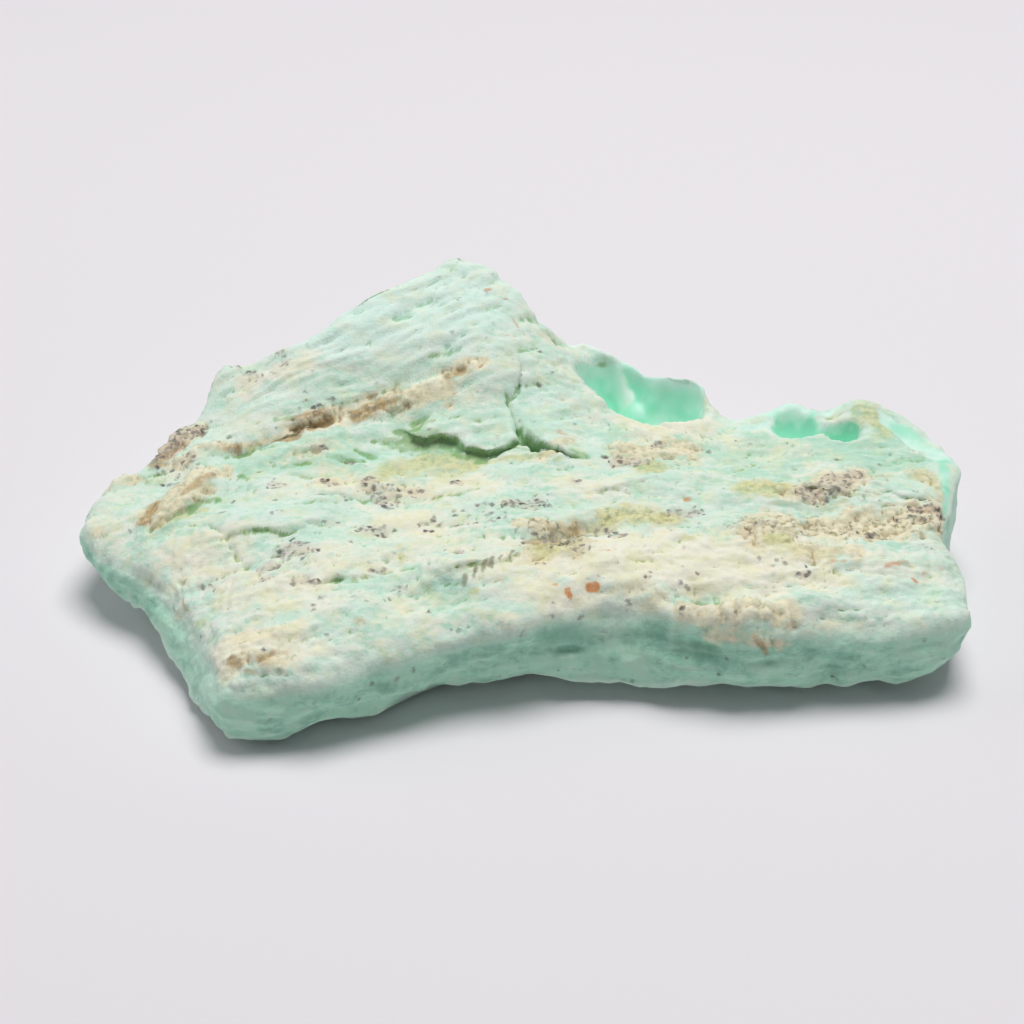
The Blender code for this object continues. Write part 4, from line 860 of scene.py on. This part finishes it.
# the stone's material: colours laid over one another by the stains, by painted shade and painted light, and
# gem where it is broken
def stoneMaterial():
    material = bpy.data.materials.new("rawChrysoprase")
    material.use_nodes = True
    tree = material.node_tree
    tree.nodes.clear()
    start = Signal(tree, None)
    amount = {
        name: start.node("ShaderNodeAttribute", {"attribute_name": name}, {}, 2)
        for name in [*stainsFinishesAndPaintedLight, "gem", "depth", "cavity", "edge", "sides", "front"]
        if name not in ("calm", "glass")
    }
    inMetres = start.node("ShaderNodeTexCoord", {}, {}, 3)
    place = start.node("ShaderNodeVectorMath", {"operation": "SCALE"}, {0: inMetres, 3: 1000.0})
    grainTurn = {"Rotation": (0.0, 0.0, -0.16), "Scale": (0.42, 1.0, 1.0)}
    streaked = start.node("ShaderNodeMapping", {}, {"Vector": place, **grainTurn})
    cloud = place.noise(9.0, 2.0, 0.5, 31.0)
    mottle = streaked.noise(2.4, 3.0, 0.58)
    streak = streaked.noise(0.8, 3.0, 0.6, 17.0)
    crumb = place.noise(0.75, 3.0, 0.6, 57.0)
    grain = place.noise(0.28, 2.0, 0.6, 57.0)
    coarse, fine, finest = mottle - 0.5, crumb - 0.5, grain - 0.5
    ragged = coarse * 1.2 + fine * 0.8 + finest * 0.2

    # how much of each stain shows here: its attribute, broken up by coarse and fine noise
    def stained(name, low=0.12, high=1.0):
        return (amount[name] * 1.15 + ragged).step(low, high) * amount[name].step(0.0, 0.2)

    colour = (mottle + fine * 0.5).step(0.3, 0.68).blend("mint", "paleMint")
    green = streak * 0.6 + cloud * 0.4 + fine * 0.3 - amount["verdant"] * 0.18
    aqua = (amount["aqua"] * 1.1 + (cloud - 0.5) + ragged * 0.6).step(0.0, 1.0)
    cream = (amount["cream"] * 1.1 + (cloud - 0.5) * 1.2 + ragged).step(-0.05, 1.05)
    yellow = (place.noise(2.2, 3.0, 0.6, 19.0) + cream * 0.1).step(0.46, 0.76)

    # the sides: side walls painted paler than the front wall for the light they catch (painted light),
    # paler patches, dim teal patches that are partly the wall's own mottling and partly painted shade under
    # its bulges, and dark veins where stretched noise crosses its middle
    side = (amount["sides"] + coarse * 0.8 + fine * 0.5).step(0.2, 0.8)
    # painted light: the side walls take a paler mint than the front wall
    wallColour = amount["front"].step(0.1, 0.9).blend("litSideMint", "wall")
    patchy = place.noise(3.0, 4.0, 0.6, 71.0)
    # partly painted shade: dim teal where the wall's shaded-crevice strokes lie, mixed with the wall's own
    # patches
    tealPatchesAndShade = (amount["deep"] * 0.22 + 0.5 - patchy).step(-0.02, 0.26) * amount["front"]
    vein = start.maths("ABSOLUTE", streaked.noise(2.0, 3.0, 0.65, 83.0) - 0.5).step(0.05, 0.0)
    veined = vein * (0.62 - patchy).step(0.0, 0.2) * amount["front"]
    wallColour = (tealPatchesAndShade * 0.75).blend(wallColour, "teal")
    wallColour = (veined * 0.45).blend(wallColour, "teal")
    wallColour = ((patchy + fine * 0.4).step(0.46, 0.72) * 0.5).blend(wallColour, "mint")

    earth = (crumb * 0.6 + mottle * 0.4).step(0.34, 0.58).blend("tan", "sand")
    clods = crumb + finest * 0.5
    browned = amount["pits"].step(0.2, 0.9) * (crumb + finest * 0.4).step(0.47, 0.34)

    # hollows are tinted green, olive in the cream and brown in the tan: partly the stone's own colour in
    # its crevices, partly painted shade, most under the ledge lips; convex edges are painted pale, a
    # painted highlight
    # painted highlight: convex edges painted pale
    edgeHighlight = (amount["edge"] + fine * 0.6).step(0.2, 1.0)
    earthy = (amount["tan"] + amount["ochre"]).step(0.15, 0.7)
    topHollowGreenAndShadeColour = (aqua * 0.7).blend((cream * 0.5).blend("mossGreenShade", "darkOlive"), "greenMint")
    hollowGreenAndShadeColour = earthy.blend(side.blend(topHollowGreenAndShadeColour, "deep"), "umber")
    # painted shade: hollows, ledge undersides and the shaded-crevice strokes pulled toward the hollow
    # colour
    deepened = (amount["cavity"] + amount["deep"] * 0.7 + fine * 0.8).step(0.15, 1.0)

    # specks: irregular dots round the seeds of fine cells, in the cells that the stain picks
    swirl = start.node("ShaderNodeTexNoise", {}, {"Vector": place, "Scale": 1.4, "Detail": 1.0}, 1)
    bent = start.node("ShaderNodeMix", {"data_type": "VECTOR"}, {0: 0.4, 4: place, 5: swirl}, 1)
    cells = {"Vector": bent, "Scale": 2.3}
    toSeed = start.node("ShaderNodeTexVoronoi", {}, cells)
    cellColour = start.node("ShaderNodeTexVoronoi", {}, cells, 1)
    random = start.node("ShaderNodeSeparateColor", {}, {0: cellColour})
    faint = start.node("ShaderNodeSeparateColor", {}, {0: cellColour}, 1)
    cluster = place.noise(1.6, 2.0, 0.5, 37.0)
    picked = (amount["specks"] * 1.3 + (cluster - 0.5) * 0.8 + 0.03 - random).step(0.0, 0.15)
    dot = (toSeed + fine * 1.4).step(0.68, 0.14)

    height = crumb * 0.5 + streak * 0.3 + grain * 0.4
    layers = [  # from the lowest up: how much of it shows, and its colour
        (green.step(0.5, 0.32) * 0.8, "greenMint"),
        (aqua * 0.7, "aqua"),
        (cream, "cream"),
        (yellow * 0.5, "yellow"),
        # painted light: the fibrous ramp painted pale, as if lit like the flat top
        (amount["fibrous"] * 0.2, "chalkAndHighlight"),
        (side * 0.9, wallColour),
        (stained("tan") * 0.9, earth),
        (stained("olive") * 0.7, crumb.step(0.34, 0.6).blend("darkOlive", "olive")),
        (stained("rust", 0.25, 0.95) * 0.85, clods.step(0.22, 0.42).blend("brown", "rust")),
        (stained("ochre", 0.05, 0.9) * 0.85, clods.step(0.38, 0.64).blend("brown", "ochre")),
        (browned * 0.75, "brown"),
        # painted highlight on convex edges
        (edgeHighlight * 0.25, "chalkAndHighlight"),
        # painted shade in the hollows and under the ledges
        (deepened * (side * -0.35 + 0.75), hollowGreenAndShadeColour),
        ((amount["specks"] + ragged * 0.5).step(0.1, 1.1) * 0.45, "halo"),
        (dot * picked * (faint * -0.3 + 0.95), faint.blend("speck", "paleSpeck")),
        ((amount["dashes"] + fine * 0.5).step(0.15, 1.0) * 0.7, "dash"),
        (height.step(0.6, 0.42) * 0.3, (cream * 0.6).blend("greenMint", "yellow")),
    ]
    for share, tone in layers:
        colour = share.blend(colour, tone)
    bump = start.node("ShaderNodeBump", {}, {**finish["grain"], "Height": height})
    crustInputs = {**finish["crust"], "Base Color": colour, "Normal": bump}
    crust = start.node("ShaderNodeBsdfPrincipled", {}, crustInputs)

    glow = place.noise(3.4, 3.0, 0.5, 43.0).step(0.38, 0.7)
    rich = (amount["rich"] + (glow - 0.5) * -0.5).step(0.1, 1.0)
    gemColour = (glow * 0.25).blend("gem", "paleGem")
    gemColour = (amount["depth"].step(0.25, 0.0) * 0.8).blend(gemColour, "paleGem")
    gemColour = (rich * 0.8).blend(gemColour, "richGem")
    gemColour = (amount["frost"].step(0.1, 1.0) * 0.8).blend(gemColour, "chalkAndHighlight")
    gem = start.node("ShaderNodeBsdfPrincipled", {}, {**finish["gem"], "Base Color": gemColour})
    share = (amount["gem"] + ragged * 0.5).step(0.25, 0.75)
    surface = start.node("ShaderNodeMixShader", {}, {0: share, 1: crust, 2: gem})
    start.node("ShaderNodeOutputMaterial", {}, {"Surface": surface}, None)
    return material


stoneObject = makeStone()
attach(stoneObject, "root")
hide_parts("chrysoprase")
print("stone made:", len(stoneObject.data.polygons), "faces")

# the floor, light and camera: metres, and degrees up
studio = {
    "floorColour": (0.8, 0.775, 0.805, 1.0),
    "floorSize": 3.0,
    "skyColour": (0.93, 0.94, 1.0, 1.0),
    "skyStrength": 0.2,
    "lights": [
        {"at": (0.09, 0.12, 0.74), "size": 0.48, "energy": 4.75, "colour": (1.0, 0.995, 0.98)},
        {"at": (-0.6, 0.15, 0.35), "size": 0.5, "energy": 0.7, "colour": (0.98, 0.99, 1.0)},
    ],
    "cameraElevation": 31.0,
    "cameraDistance": 0.263,
    "cameraTarget": (-0.0011, 0.0131, 0.0),
    "cameraLens": 85.0,
}


# a square floor, an even sky, lamps aimed at the middle, and the camera aimed down at its target
def makeStudio():
    half = studio["floorSize"] / 2.0
    corners = [(-half, -half, 0), (half, -half, 0), (half, half, 0), (-half, half, 0)]
    mesh = bpy.data.meshes.new("floor")
    mesh.from_pydata(corners, [], [(0, 1, 2, 3)])
    addObject("floor", mesh)
    material = bpy.data.materials.new("paleFloor")
    material.use_nodes = True
    shader = material.node_tree.nodes["Principled BSDF"]
    shader.inputs["Base Color"].default_value = studio["floorColour"]
    shader.inputs["Roughness"].default_value = 0.9
    shader.inputs["Specular IOR Level"].default_value = 0.1
    mesh.materials.append(material)

    world = bpy.data.worlds.new("softSky")
    world.use_nodes = True
    background = world.node_tree.nodes["Background"]
    background.inputs["Color"].default_value = studio["skyColour"]
    background.inputs["Strength"].default_value = studio["skyStrength"]
    bpy.context.scene.world = world
    for lamp in studio["lights"]:
        light = bpy.data.lights.new("softLight", "AREA")
        light.shape = "DISK"
        light.size = lamp["size"]
        light.energy = lamp["energy"]
        light.color = lamp["colour"]
        lightObject = addObject("softLight", light)
        lightObject.location = lamp["at"]
        aim = -lightObject.location
        lightObject.rotation_euler = aim.to_track_quat("-Z", "Y").to_euler()

    camera = bpy.data.cameras.new("camera")
    camera.lens = studio["cameraLens"]
    camera.sensor_width = 36.0
    cameraObject = addObject("camera", camera)
    elevation = math.radians(studio["cameraElevation"])
    away = (0.0, -math.cos(elevation), math.sin(elevation))
    cameraObject.location = [t + studio["cameraDistance"] * a for t, a in zip(studio["cameraTarget"], away)]
    cameraObject.rotation_euler = (math.pi / 2.0 - elevation, 0.0, 0.0)
    bpy.context.scene.camera = cameraObject
    bpy.context.scene.view_settings.view_transform = "Standard"


makeStudio()
print("studio made")
